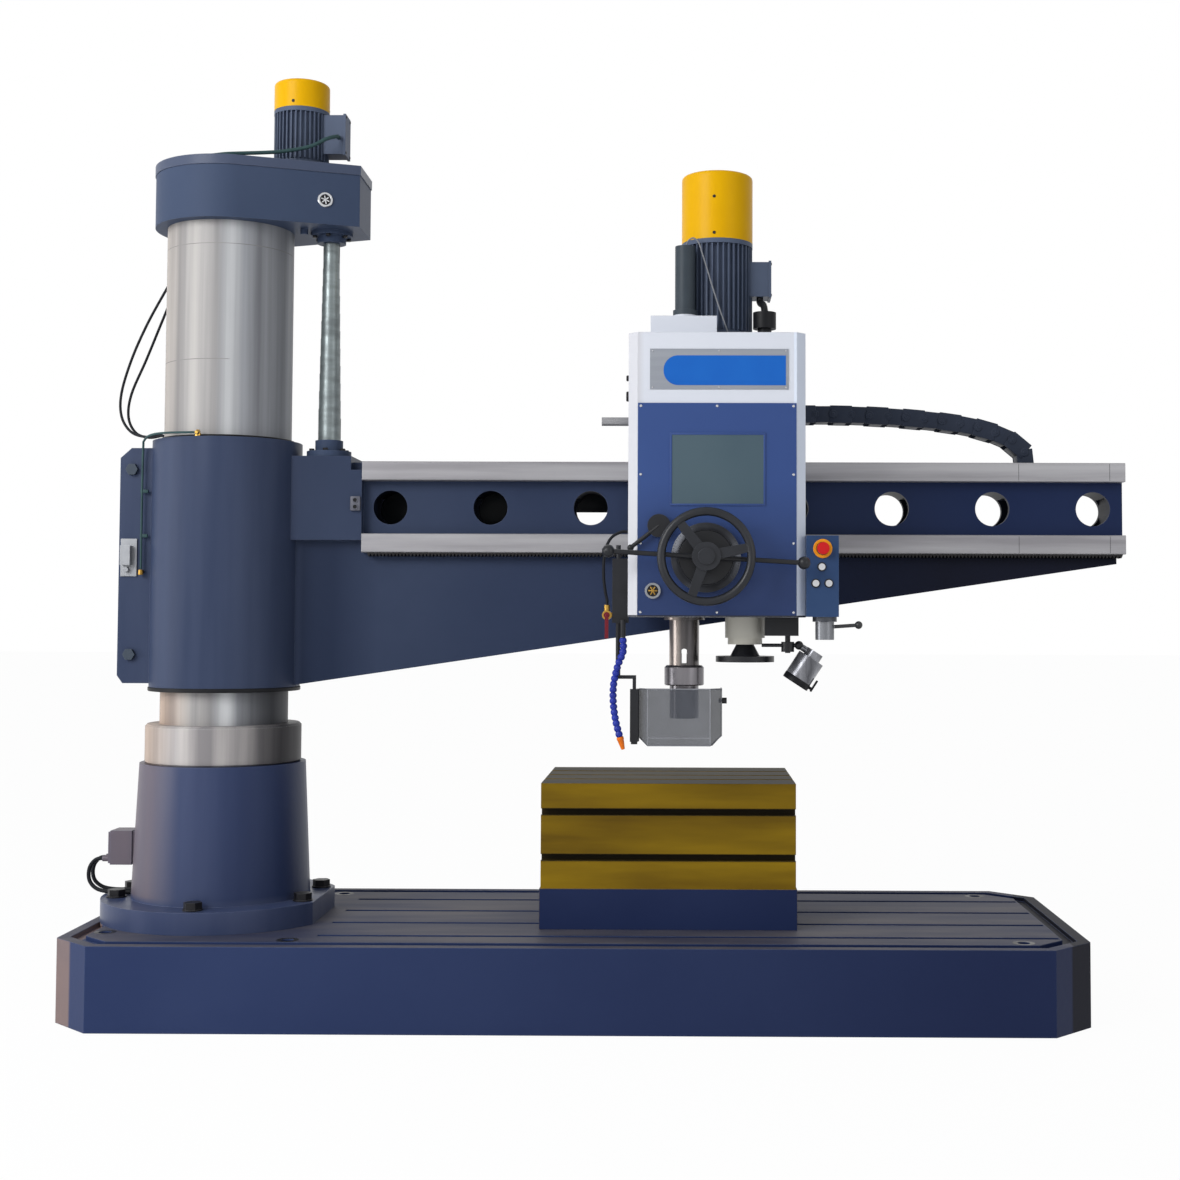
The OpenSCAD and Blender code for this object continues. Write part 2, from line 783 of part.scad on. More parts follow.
module traverse_rack() {
    p = PI * drive_m;
    first = ceil((way_x + 10 - hub_x) / p);
    last = floor((arm_end - 10 - hub_x) / p);
    color("#8f9398")
        translate([hub_x + first * p, 0, rack_pitch_z])
            along_y(cross_pinion_y[0] - 1, web_y)
                mirror([0, 1])
                    polygon(rack_outline(drive_m, last - first, rack_back - rack_pitch_z));
}

module lift_nut() {
    color("#4a5568")
        difference() {
            union() {
                rod_z([screw_x, 0], screw_low, nut_z + eps, nut_body_r);
                rod_z([screw_x, 0], nut_z, nut_z + nut_flange_h, nut_flange_r);
                rod_z([screw_x, 0], nut_z, nut_z + nut_flange_h + nut_collar_h, nut_collar_r);
            }
            rod_z([screw_x, 0], screw_low - eps, nut_z + nut_flange_h + nut_collar_h + eps, screw_d / 2 + fit);
        }
}

module clamp_bolts() {
    color(black)
        for (z = lug_bolt_z) {
            rod_y([lug_x + 45, z], -lug_half - 2, lug_half + 30, 12);
            for (y = [-lug_half - 16, lug_half])
                translate([lug_x + 45, y + 16, z])
                    rotate([90, 0, 0])
                        cylinder(r = 22, h = 16, $fn = 6);
        }
}

module limit_switch() {
    z = arm_z + 395;
    color("#8f9398") {
        block([lug_x + 8, -lug_half - 6, z], [lug_x + 66, -lug_half, z + 135]);
        block([lug_x + 14, -lug_half - 34, z + 40], [lug_x + 50, -lug_half - 5, z + 110]);
        rod_y([lug_x + 32, z + 24], -lug_half - 22, -lug_half - 5, 9);
    }
}

module lube_pipe() {
    color(brass) {
        tube(smooth_route([for (p = pipe_route) p + [0, 0, sleeve_top - 1982]], 3), [for (i = [0 : 18]) 4], 8);
        translate([pipe_route[0][0], pipe_route[0][1] + 16, sleeve_top])
            cylinder(r = 9, h = 22);
        translate([pipe_route[0][0], pipe_route[0][1] + 16, sleeve_top + 12])
            rotate([90, 0, 0])
                cylinder(r = 7, h = 20);
        rod_z([-284, -90], sleeve_top - 490, sleeve_top - 450, 8);
        translate([-284, -92, sleeve_top - 470])
            rotate([-90, 0, 0])
                cylinder(r = 6, h = 22);
    }
}

// Spiral cover: one steel band wound upwards, each turn inside the one below
function cover_at(i) = let (w = i / (cover_turns * cover_steps), a = 360 * i / cover_steps,
    r = cover_r + (cover_top_r - cover_r) * w, z = (cover_z1 - cover_z0 - cover_band) * w)
    [for (q = [[0, 0], [-cover_t, 0], [-cover_t, cover_band], [0, cover_band]])
        [(r + q[0]) * cos(a), (r + q[0]) * sin(a), z + q[1]]];
cover_gap = min([for (i = [0 : (cover_turns - 1) * cover_steps])
    let (a = cover_at(i)[2], b = cover_at(i + cover_steps)[3]) norm([a[0] - b[0], a[1] - b[1]])]);

module screw_cover() {
    n = cover_turns * cover_steps;
    points = [for (i = [0 : n], p = cover_at(i)) p];
    walls = [for (i = [0 : n - 1], k = [0 : 3], h = [0, 1])
        let (a = i * 4 + k, b = i * 4 + (k + 1) % 4) h == 0 ? [a, b, b + 4] : [a, b + 4, a + 4]];
    ends = [[2, 1, 0], [3, 2, 0], [n * 4, n * 4 + 1, n * 4 + 2], [n * 4, n * 4 + 2, n * 4 + 3]];
    echo(least_gap_between_turns = cover_gap);
    color("#9aa3a8")
        translate([screw_x, 0, cover_z0])
            polyhedron(points, concat(walls, ends));
}

// Joint points of the energy chain, from its fixed end to the head
function chain_heading(i) = i < chain_low_n ? 0 : chain_turn[min(i - chain_low_n, len(chain_turn) - 1)];
function chain_joint(n) = n == 0 ? [0, 0]
    : chain_joint(n - 1) + link_l * [cos(chain_heading(n - 1)), sin(chain_heading(n - 1))];

// Chain link: wide and narrow links take turns, and each reaches into the next one
module chain_link(narrow) {
    side = narrow ? link_step : 0;
    high = link_h - (narrow ? 2 * link_step : 0);
    difference() {
        translate([-link_lap, side, -high / 2])
            cube([link_l + 2 * link_lap, link_w - 2 * side, high]);
        translate([-link_lap - eps, side + link_wall, -high / 2 + link_wall])
            cube([link_l + 2 * link_lap + 2 * eps, link_w - 2 * side - 2 * link_wall, high - 2 * link_wall]);
    }
}

module energy_chain() {
    n = chain_low_n + len(chain_turn);
    last = chain_joint(n);
    color(black)
        for (i = [0 : n - 1]) {
            p = chain_joint(i) + [chain_end_x - last[0], 0];
            translate([p[0], chain_y, trough_z + 1 + link_h / 2 + p[1]])
                rotate([0, -chain_heading(i), 0])
                    chain_link(i % 2 == 1);
        }
}

// Outline of the head's casing seen from above, with its front corners cut
module case_outline(inset = 0) {
    x0 = head_x + inset;
    x1 = head_end - inset;
    y0 = case_front + inset;
    polygon([[x0 + case_cut, y0], [x1 - case_cut, y0], [x1, y0 + case_cut], [x1, case_back + inset],
        [x0, case_back + inset], [x0, y0 + case_cut]]);
}

module head_casing() {
    rear = [motor_x - motor_d / 2 - rear_side, case_back - eps, head_top - 150];
    color(white)
        difference() {
            union() {
                difference() {
                    translate([0, 0, head_z])
                        linear_extrude(head_h)
                            case_outline();
                    translate([0, 0, head_z + head_wall])
                        linear_extrude(head_h - 2 * head_wall)
                            case_outline(head_wall);
                }
                rod_z(sp, head_z, head_z + 420, quill_boss_r);
                rod_y([hub_x, hub_z], case_front + eps, case_front + 110, feed_shaft_r + 14);
                block(rear, [motor_x + motor_d / 2 + rear_side, motor_y + motor_d / 2 + 10, head_top]);
                block([spindle_x - 117, sp_y - 120, head_top - eps],
                    [spindle_x + 108, sp_y - 12, head_top + 78]);
                rod_z(sp, head_top - eps, tube_z, tube_r + 7);
            }
            rod_z(sp, head_z - eps, head_z + 421, quill_r + fit);
            rod_z(sp, head_top - head_wall - eps, tube_z + eps, spline_r + 3);
            rod_y([hub_x, hub_z], case_front - eps, case_front + 112, feed_shaft_r + fit);
            rod_y([hub_x, hub_z], sp_y - quill_boss_r - 2, case_back + eps, drive_r + 8);
            rod_z([motor_x, motor_y], head_top - head_wall - eps, head_top + eps, 40);
        }
}

module head_saddle() {
    hook = 24;
    reach = way_t - 8;
    color(white)
        difference() {
            union() {
                block([head_x, case_back, head_z + 40], [head_end, saddle_y, arm_top + 90]);
                for (z = [low_way_z + way_h + gap, arm_top + gap])
                    block([head_x + 30, saddle_y - eps, z], [head_end - 30, saddle_y + reach, z + hook]);
                block([saddle_plate_x - 66, case_back, arm_top + 60],
                    [saddle_plate_x - 16, chain_y + link_w + 6, arm_top + 89]);
                block([saddle_plate_x - 16 - eps, case_back, arm_top + 60],
                    [saddle_plate_x, chain_y + link_w + 6, arm_top + 250]);
            }
            rod_y([hub_x, hub_z], case_back - eps, saddle_y + eps, cross_shaft_r + fit);
        }
}

module front_panel() {
    color(panel_blue)
        difference() {
            block([head_x + panel_in, panel_y, head_z + 6], [head_end - panel_in, case_front, panel_top]);
            rod_y([hub_x, hub_z], panel_y - eps, case_front + eps, feed_shaft_r + 2);
        }
}

module screen() {
    color("#56645f")
        block([head_x + screen_x[0], panel_y - 2, head_z + screen_z[0]],
            [head_x + screen_x[1], panel_y, head_z + screen_z[1]]);
}

module name_plate() {
    color("#aab0b6")
        block([head_x + plate_side[0], case_front - 2, head_z + plate_z[0]],
            [head_end - plate_side[1], case_front, head_z + plate_z[1]]);
}

module main_motor() {
    r = motor_d / 2;
    color(black)
        translate([motor_x, motor_y, head_top]) {
            cylinder(r = r, h = 26);
            translate([0, 0, 25])
                finned_barrel(r, motor_h - 25, 40);
            terminal_box(r, 56, 46, [182, 304]);
        }
}

module main_fan_cover() {
    color(yellow)
        translate([motor_x, motor_y, head_top + motor_h])
            fan_cover(motor_d / 2, motor_fan_h);
}

module spindle_tube() {
    color(black)
        difference() {
            union() {
                rod_z(sp, tube_z, tube_z + 18, tube_r + 7);
                rod_z(sp, tube_z, tube_z + tube_h, tube_r);
            }
            rod_z(sp, tube_z - eps, tube_z + tube_h - 8, spline_r + 3);
        }
}

// Round fitting on the head, with the conduit that comes down from the main motor's terminal box
module breather_cap() {
    c = [feed_x + 68, sp_y + 30];
    steps = 3;
    color(black) {
        rod_z(c, head_top, head_top + 60, 24);
        rod_z(c, head_top + 58, head_top + 115, 40);
        tube(smooth_route([for (p = conduit_route) [c[0], c[1], head_top] + p], steps),
            [for (i = [0 : steps * (len(conduit_route) - 1)]) 12], 12);
    }
}

module feed_dial() {
    color(black)
        difference() {
            union() {
                rod_y([hub_x, hub_z], panel_y - dial_t * 0.6, panel_y, dial_r);
                rod_y([hub_x, hub_z], panel_y - dial_t, panel_y, dial_r - 26);
            }
            rod_y([hub_x, hub_z], panel_y - dial_t - eps, panel_y + eps, feed_shaft_r + fit);
        }
}

module oil_sight_glass() {
    p = [head_x + 83, head_z + 86];
    color(steel)
        difference() {
            rod_y(p, panel_y - 9, panel_y, 26);
            rod_y(p, panel_y - 9 - eps, panel_y - 4, 19);
        }
}

module feed_unit() {
    c = [feed_x, sp_y];
    color("#e6e2d2")
        difference() {
            union() {
                rod_z(c, head_z - feed_unit_h + 22, head_z, feed_unit_r);
                rod_z(c, head_z - feed_unit_h, head_z, feed_unit_r - 9);
            }
            rod_z(c, head_z - feed_unit_h - eps, head_z - 30, 16 + fit);
        }
}

module microfeed_wheel() {
    c = [feed_x, sp_y];
    color(black) {
        rod_z(c, micro_z + 8, head_z - 32, 16);
        translate([c[0], c[1], micro_z + 18])
            cylinder(r1 = 52, r2 = 30, h = head_z - feed_unit_h - gap - micro_z - 18);
        rod_z(c, micro_z, micro_z + 20, micro_r);
    }
}

module lamp_bracket() {
    color(black) {
        block([lamp_axis[0] - 77, lamp_axis[1] - 30, head_z - 62],
            [lamp_axis[0] + 35, lamp_axis[1] + 30, head_z]);
        rod_z(lamp_axis, lamp_z - 20, head_z - 61, 9);
    }
}

// Lamp arm: a clamp on the post with its tightening rod, and a ball on a pin
module lamp_arm() {
    color(steel) {
        difference() {
            rod_z(lamp_axis, lamp_z - 16, lamp_z + 18, 22);
            rod_z(lamp_axis, lamp_z - 17, lamp_z + 19, 9 + fit);
        }
        translate([lamp_axis[0] - 88, lamp_axis[1], lamp_ball[2]])
            rotate([0, 90, 0])
                cylinder(r = 6, h = 70);
        translate([lamp_axis[0] + 18, lamp_axis[1], lamp_ball[2]])
            rotate([0, 90, 0])
                cylinder(r = 7, h = lamp_ball[0] - lamp_axis[0] - 18);
        translate(lamp_ball)
            sphere(r = lamp_ball_r);
        rod_y([lamp_ball[0], lamp_ball[2]], lamp_ball[1] - lamp_ball_r - 4, lamp_ball[1] + lamp_ball_r + 4, 6);
    }
}

// Lamp head: a barrel that points down and to the left, held at its back by a cup on the ball
module lamp_head() {
    back = [-58, 0, 14];
    barrel = [47, 100];
    rim = 7;
    color(steel)
        translate(lamp_ball)
            rotate([0, 180 + lamp_lean, 0]) {
                difference() {
                    translate([back[0], 0, 0])
                        rotate([0, 90, 0])
                            cylinder(r = 11, h = -back[0] - 8);
                    sphere(r = lamp_ball_r + gap);
                }
                translate([back[0], 0, -12])
                    cylinder(r = 30, h = back[2] + 13);
                translate(back)
                    difference() {
                        cylinder(r = barrel[0], h = barrel[1]);
                        translate([0, 0, barrel[1] - 12])
                            cylinder(r = barrel[0] - rim, h = 12 + eps);
                    }
            }
}

module pendant_box() {
    a = [pend_x, pend_y, pend_z];
    color(panel_blue)
        difference() {
            union() {
                block(a, a + [pend_w, pend_t, pend_h]);
                rod_y(estop, pend_y - 3, pend_y + eps, 30);
                rod_z(stick, pend_z - 16, pend_z + eps, 40);
            }
            for (b = concat([estop], buttons))
                rod_y(b, pend_y - 4, pend_y + 40, button_r + fit);
            rod_z(stick, pend_z - 17, pend_z + 20, 12 + fit);
        }
}

module estop_button() {
    color("#d8262c") {
        rod_y(estop, pend_y - 22, pend_y + 26, button_r);
        rod_y(estop, pend_y - 33, pend_y - 13, 20);
    }
}

module start_button() {
    color(steel)
        rod_y(buttons[0], pend_y - 9, pend_y + 26, button_r);
}

module left_button() {
    color(steel)
        rod_y(buttons[1], pend_y - 9, pend_y + 26, button_r);
}

module right_button() {
    color(steel)
        rod_y(buttons[2], pend_y - 9, pend_y + 26, button_r);
}

// Joystick: a barrel under the pendant with a lever that points to the right
module joystick() {
    top = pend_z - 16 - gap;
    reach = 112;
    color(black) {
        rod_z(stick, top - 59, top, 31);
        rod_z(stick, top - eps, pend_z + 18, 12);
        translate([stick[0], stick[1], top - 18])
            rotate([0, 90 - 4, 0]) {
                cylinder(r = 6, h = reach);
                translate([0, 0, reach])
                    sphere(r = 13);
            }
    }
}

// Valve handle: a lever that hangs down in front of the valve
module valve_handle() {
    y = valve_y - gap;
    color("#c8242a") {
        rod_y(valve, y - 10, valve_y + 12, 4);
        rod_y(valve, y - 8, y, 10);
        block([valve[0] - 6, y - 8, valve[1] - 78], [valve[0] + 6, y - 3, valve[1]]);
    }
}

module hose_bracket() {
    y = guard_axis[1];
    post_x = guard_axis[0];
    color(black) {
        rod_z([rod_x, y], guard_z1 + 34, head_z + 241, 8);
        block([rod_x - 20, y - 12, head_z - 20], [head_x, y + 12, head_z + 196]);
        block([rod_x - 6, y - 6, guard_z1 + 34], [post_x + 6, y + 6, guard_z1 + 46]);
        rod_z([post_x, y], guard_z0 + 12, guard_z1 + 35, post_r);
        rod_z([post_x, y], guard_z0 + 4, guard_z0 + 12, post_r + 5);
        rod_z([spindle_x - 205, y - 28], head_z - 69, head_z - 10, 9);
        block([spindle_x - 214, y - 32, head_z - 22], [spindle_x - 196, y - 11, head_z - 12]);
    }
    color(brass)
        difference() {
            union() {
                rod_y(valve, valve_y, y + 10, 16);
                translate([valve[0], y, valve[1]])
                    rotate([0, 90, 0])
                        cylinder(r = 9, h = rod_x - 19 - valve[0]);
                rod_z([valve[0], y], valve[1] + 10, valve[1] + 34, 10);
            }
            rod_y(valve, valve_y - eps, valve_y + 14, 4 + fit);
        }
}

// Jointed coolant hose: one bored tube that swells at every ball segment
module coolant_hose() {
    p = smooth_route([for (q = hose_route) [spindle_x + q[0], sp_y + q[1], head_z - 69.3 + q[2]]], 6);
    last = len(p) - 1;
    color("#24309a")
        difference() {
            tube(p, [for (i = [0 : last]) i % 2 == 0 ? 12.5 : 9.5], 10);
            tube(concat([p[0] + [0, 0, 2]], [for (i = [1 : last - 1]) p[i]],
                [p[last] + (p[last] - p[last - 1]) * 0.2]), [for (i = [0 : last]) 5.5], 6);
        }
    coolant_nozzle();
    supply_hose();
}

// Supply hose: a loop from the head's side into the valve's top
module supply_hose() {
    steps = 3;
    color(black)
        tube(smooth_route([for (p = supply_route) [head_x, sp_y, head_z] + p], steps),
            [for (i = [0 : steps * (len(supply_route) - 1)]) 5], 8);
}

module coolant_nozzle() {
    q = hose_route[6];
    a = [spindle_x + q[0], sp_y + q[1], head_z - 69.6 + q[2]];
    d = a - [spindle_x + hose_route[5][0], sp_y + hose_route[5][1], head_z - 69.3 + hose_route[5][2]];
    color("#f07818")
        translate(a)
            rotate([0, 180 - atan2(d[0], -d[2]), 0])
                difference() {
                    union() {
                        cylinder(r1 = 12, r2 = 12, h = 10);
                        translate([0, 0, 9])
                            cylinder(r1 = 11, r2 = 6, h = 34);
                    }
                    translate([0, 0, -eps])
                        cylinder(r = 4, h = 46);
                }
}

module side_pin() {
    color(steel)
        translate([head_x - 99, sp_y, head_z + 673])
            rotate([0, 90, 0])
                cylinder(r = 15, h = 99);
}

// Handwheel on the inner shaft, whose pinion runs on the rack under the lower way
module traverse_handwheel() {
    rim_r = 14;
    r = wheel_d / 2 - rim_r;
    spoke_half = [19, 14];
    spoke_t = 16;
    color(black) {
        translate([hub_x, wheel_y, hub_z])
            rotate([90, 0, 0]) {
                rotate_extrude()
                    translate([r, 0])
                        circle(r = rim_r);
                for (a = spoke_a)
                    rotate(a)
                        translate([0, 0, -spoke_t / 2])
                            linear_extrude(spoke_t)
                                polygon([[0, -spoke_half[0]], [r, -spoke_half[1]], [r, spoke_half[1]],
                                    [0, spoke_half[0]]]);
            }
        rod_y([hub_x, hub_z], wheel_y - 18, wheel_y + 26, 46);
        rod_y([hub_x, hub_z], wheel_y - 26, wheel_y, 27);
        rod_y([hub_x, hub_z], wheel_y, cross_pinion_y[1], cross_shaft_r);
        translate([hub_x, 0, hub_z])
            along_y(cross_pinion_y[0], cross_pinion_y[1])
                rotate(90)
                    polygon(gear_outline(drive_m, drive_n));
    }
}

// Feed levers on the hollow shaft, whose pinion runs on the quill's rack
module feed_hub() {
    color(black)
        difference() {
            union() {
                rod_y([hub_x, hub_z], lever_y - 14, panel_y - dial_t - gap, 46);
                rod_y([hub_x, hub_z], panel_y - dial_t - 10, feed_pinion_y[1], feed_shaft_r);
                translate([hub_x, 0, hub_z])
                    along_y(feed_pinion_y[0], feed_pinion_y[1])
                        rotate(180)
                            polygon(gear_outline(drive_m, drive_n));
                for (s = [0, 180])
                    translate([hub_x, lever_y, hub_z])
                        rotate([0, 90 + lever_tilt + s, 0]) {
                            cylinder(r = 8, h = lever_reach);
                            translate([0, 0, lever_reach])
                                sphere(r = knob_r);
                        }
            }
            rod_y([hub_x, hub_z], lever_y - 16, feed_pinion_y[1] + eps, cross_shaft_r + fit);
        }
}

module quill() {
    rack_x = hub_x - drive_r;
    p = PI * drive_m;
    teeth = 25;
    z0 = hub_z - 4 * p;
    color(steel)
        difference() {
            rod_z(sp, quill_z, quill_z + quill_h, quill_r);
            rod_z(sp, quill_z - eps, quill_z + quill_h + eps, spindle_r + fit);
            along_y(sp_y - quill_r, sp_y + quill_r)
                difference() {
                    translate([rack_x - tooth_root * drive_m, z0])
                        square([quill_r, teeth * p]);
                    translate([rack_x, z0])
                        rotate(90)
                            mirror([0, 1])
                                polygon(rack_outline(drive_m, teeth, tooth_root * drive_m + 1));
                }
        }
}

module spindle() {
    color(steel)
        difference() {
            union() {
                rod_z(sp, nose_z, quill_z - gap, nose_r);
                rod_z(sp, quill_z - gap - eps, quill_z + quill_h + 3, spindle_r);
                rod_z(sp, quill_z + quill_h, tube_z + tube_h - 24, spline_r);
            }
            rod_z(sp, nose_z - eps, nose_z + 140, shank_r + fit);
            rod_y([spindle_x, nose_z + 46], sp_y - nose_r - eps, sp_y + nose_r + eps, 11);
            block([spindle_x - 8, sp_y - nose_r - eps, nose_z + 6],
                [spindle_x + 8, sp_y + nose_r + eps, nose_z + 46]);
        }
}

module tool_adapter() {
    color(steel)
        difference() {
            union() {
                rod_z(sp, adapter_z, nose_z, adapter_r);
                translate([spindle_x, sp_y, nose_z - collar_h])
                    rotate_extrude()
                        polygon([[0, 0], [collar_r - 3, 0], [collar_r, 3], [collar_r, collar_h - 7],
                            [collar_r - 7, collar_h], [0, collar_h]]);
                rod_z(sp, nose_z - eps, nose_z + 130, shank_r);
            }
            rod_z(sp, adapter_z - eps, adapter_z + socket_depth, socket_d / 2);
            block([spindle_x - adapter_r - eps, sp_y - 7, adapter_z + 58],
                [spindle_x - 10, sp_y + 7, adapter_z + 100]);
            block([spindle_x - 9, sp_y - nose_r, nose_z + 4], [spindle_x + 9, sp_y + nose_r, nose_z + 60]);
        }
}

module selector_lever() {
    color(black) {
        rod_y(select, panel_y - 26, panel_y - gap, 38);
        translate([select[0], panel_y - 20, select[1]])
            rotate([0, 180 + 52, 0])
                cylinder(r = 7, h = 118);
        translate([select[0], panel_y - 20, select[1]])
            rotate([0, 180 + 52, 0])
                translate([0, 0, 118])
                    sphere(r = 11);
    }
}

// Guard: one clear sheet folded round the tool, on a hinge bar that swings on the post at its left
guard_fold = [[16, 44], [16, 18], [44, -12], [guard_w - 40, -12], [guard_w, 28], [guard_w, 110]];
guard_t = 4;
thumb = [50, guard_z1 - 40];
function left_of(v) = [-v[1], v[0]];
function fold_in(p, t) = [for (i = [0 : len(p) - 1])
    let (k = max(i, 1), m = min(i + 1, len(p) - 1), a = left_of(unit(p[k] - p[k - 1])),
        b = left_of(unit(p[m] - p[m - 1]))) p[i] + t * (a + b) / (1 + a * b)];

module guard_frame() {
    foot = guard_z0 + 12 + gap;
    color(black)
        translate([guard_axis[0], guard_axis[1], 0]) {
            difference() {
                union() {
                    block([-14, -12, foot], [13, 10, guard_z1]);
                    block([6, 9, foot], [guard_fold[0][0], guard_fold[0][1], guard_z1]);
                }
                rod_z([0, 0], guard_z0, guard_z1 + eps, post_r + fit);
            }
            translate([guard_w, thumb[0], thumb[1]])
                rotate([0, 90, 0]) {
                    cylinder(r = 10, h = 16);
                    translate([0, 0, -guard_t - 8])
                        cylinder(r = 4, h = guard_t + 9);
                    translate([0, 0, -guard_t - 7])
                        cylinder(r = 8, h = 7, $fn = 6);
                }
        }
}

module guard_panes() {
    inner = fold_in(guard_fold, guard_t);
    cut = [28, 34];
    color("#c8d2da", 0.5)
        translate([guard_axis[0], guard_axis[1], 0])
            difference() {
                translate([0, 0, guard_z0])
                    linear_extrude(guard_z1 - guard_z0)
                        polygon(concat(guard_fold, [for (i = [len(inner) - 1 : -1 : 0]) inner[i]]));
                along_y(-20, 120) {
                    polygon([[15, guard_z0 - eps], [15 + cut[0], guard_z0 - eps], [15, guard_z0 + cut[0]]]);
                    polygon([[guard_w + eps, guard_z0 - eps], [guard_w + eps, guard_z0 + cut[1]],
                        [guard_w - cut[1], guard_z0 - eps]]);
                }
                translate([guard_w - guard_t - eps, thumb[0], thumb[1]])
                    rotate([0, 90, 0])
                        cylinder(r = 4 + fit, h = guard_t + 2 * eps);
            }
}

base_plate();
column_foot();
foot_bolts();
inner_column();
junction_box();
foot_cables();
box_table();
column_tube();
clamp_ring();
column_bearings();
cap_housing();
cap_lid();
lift_motor();
lift_fan_cover();
column_cables();
lift_screw();
lift_pinion();
arm_casting();
guide_ways();
traverse_rack();
lift_nut();
clamp_bolts();
limit_switch();
lube_pipe();
screw_cover();
energy_chain();
head_casing();
head_saddle();
front_panel();
screen();
name_plate();
main_motor();
main_fan_cover();
spindle_tube();
breather_cap();
feed_dial();
oil_sight_glass();
feed_unit();
lamp_bracket();
pendant_box();
hose_bracket();
coolant_hose();
side_pin();
traverse_handwheel();
feed_hub();
quill();
spindle();
tool_adapter();
microfeed_wheel();
selector_lever();
guard_frame();
guard_panes();
lamp_arm();
lamp_head();
estop_button();
start_button();
left_button();
right_button();
joystick();
valve_handle();
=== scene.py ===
# Radial arm drill: finishes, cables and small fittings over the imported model
import math

import bmesh
import bpy
from mathutils import Matrix, Vector


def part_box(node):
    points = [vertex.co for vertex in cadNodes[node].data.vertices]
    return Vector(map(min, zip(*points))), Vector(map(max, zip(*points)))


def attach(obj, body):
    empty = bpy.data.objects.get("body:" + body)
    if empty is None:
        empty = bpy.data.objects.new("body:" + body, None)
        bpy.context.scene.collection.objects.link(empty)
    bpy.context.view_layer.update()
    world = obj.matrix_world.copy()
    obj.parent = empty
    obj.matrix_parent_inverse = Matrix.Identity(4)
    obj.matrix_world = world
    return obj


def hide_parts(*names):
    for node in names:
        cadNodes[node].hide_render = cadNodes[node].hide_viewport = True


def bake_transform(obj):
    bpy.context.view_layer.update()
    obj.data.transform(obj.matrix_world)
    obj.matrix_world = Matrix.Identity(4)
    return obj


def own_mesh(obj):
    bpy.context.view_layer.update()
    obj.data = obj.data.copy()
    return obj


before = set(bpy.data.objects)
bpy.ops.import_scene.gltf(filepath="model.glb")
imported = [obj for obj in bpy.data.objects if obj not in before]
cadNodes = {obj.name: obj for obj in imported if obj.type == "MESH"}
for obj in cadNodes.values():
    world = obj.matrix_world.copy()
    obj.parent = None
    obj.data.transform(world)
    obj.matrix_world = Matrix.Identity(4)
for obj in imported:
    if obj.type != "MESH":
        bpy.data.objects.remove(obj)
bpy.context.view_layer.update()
scene = bpy.context.scene
scene.view_settings.view_transform = "Standard"
print("frame loaded,", len(cadNodes), "nodes")


def mm(x, y, z):
    return Vector((x, y, z)) * 0.001


def at(x, y, z):
    return Matrix.Translation(mm(x, y, z))


def shade(*tone):
    parts = [c / 255 for c in tone]
    return tuple(c / 12.92 if c <= 0.04045 else ((c + 0.055) / 1.055) ** 2.4 for c in parts) + (1.0,)


# Node helpers
def feed(sockets, values):
    for label, value in values.items():
        if isinstance(value, bpy.types.NodeSocket):
            sockets[label].id_data.links.new(value, sockets[label])
        else:
            sockets[label].default_value = value


def newNode(tree, kind, values=None):
    node = tree.nodes.new("ShaderNode" + kind)
    feed(node.inputs, values or {})
    return node


def mathNode(tree, operation, a, b, kind="Math"):
    node = newNode(tree, kind, {0: a, 1: b})
    node.operation = operation
    return node.outputs["Value" if operation == "DOT_PRODUCT" else 0]


def clamped(tree, value):
    return newNode(tree, "Clamp", {0: value}).outputs[0]


def mixNode(tree, share, a, b, kind="FLOAT"):
    mix = newNode(tree, "Mix")
    mix.data_type = kind
    first, result = (6, 2) if kind == "RGBA" else (2, 0)
    feed(mix.inputs, {0: share, first: a, first + 1: b})
    return mix.outputs[result]


# Camera at the photograph's place: a little left of the spindle, at the height of the head's lower edge
shot = {"place": mm(1657.68, -6133.99, 1347.3), "yaw": -0.4134, "pitch": 2.6873, "roll": 0.177,
        "focalPixels": 1690.86, "framePixels": 1180, "shiftPixels": (80.47, 50.25)}


def makeCamera():
    yaw, pitch, roll = (math.radians(shot[key]) for key in ("yaw", "pitch", "roll"))
    ahead = Vector((math.sin(yaw) * math.cos(pitch), math.cos(yaw) * math.cos(pitch), math.sin(pitch)))
    right = Vector((math.cos(yaw), -math.sin(yaw), 0))
    up = right.cross(ahead)
    side = right * math.cos(roll) + up * math.sin(roll)
    top = up * math.cos(roll) - right * math.sin(roll)
    data = bpy.data.cameras.new("shot")
    data.sensor_width = 36
    data.lens = shot["focalPixels"] / shot["framePixels"] * 36
    data.shift_x = -shot["shiftPixels"][0] / shot["framePixels"]
    data.shift_y = -shot["shiftPixels"][1] / shot["framePixels"]
    camera = bpy.data.objects.new("shot", data)
    turn = Matrix((side, top, -ahead)).transposed().to_4x4()
    camera.matrix_world = Matrix.Translation(shot["place"]) @ turn
    scene.collection.objects.link(camera)
    scene.camera = camera


makeCamera()

# Soft studio: pale sky, brighter at the left, a large lamp at the left front, a smaller one at the left side
# and a weak one at the right
studio = {"sky": 0.46, "skyTone": (0.93, 0.96, 1.0, 1.0), "skySide": (-0.3, -0.08, 0.1),
          "floorTone": (0.86, 0.86, 0.87, 1.0), "floorWhite": 0.965,
          "lamps": [("keyLamp", (-3.0, -5.4, 4.4), (1.2, -0.2, 1.5), 3.2, 290),
                    ("sideLamp", (-5.0, -2.2, 1.8), (0.8, -0.2, 1.5), 2.6, 95),
                    ("fillLamp", (6.4, -5.2, 2.6), (1.6, -0.2, 1.4), 3.0, 44)]}


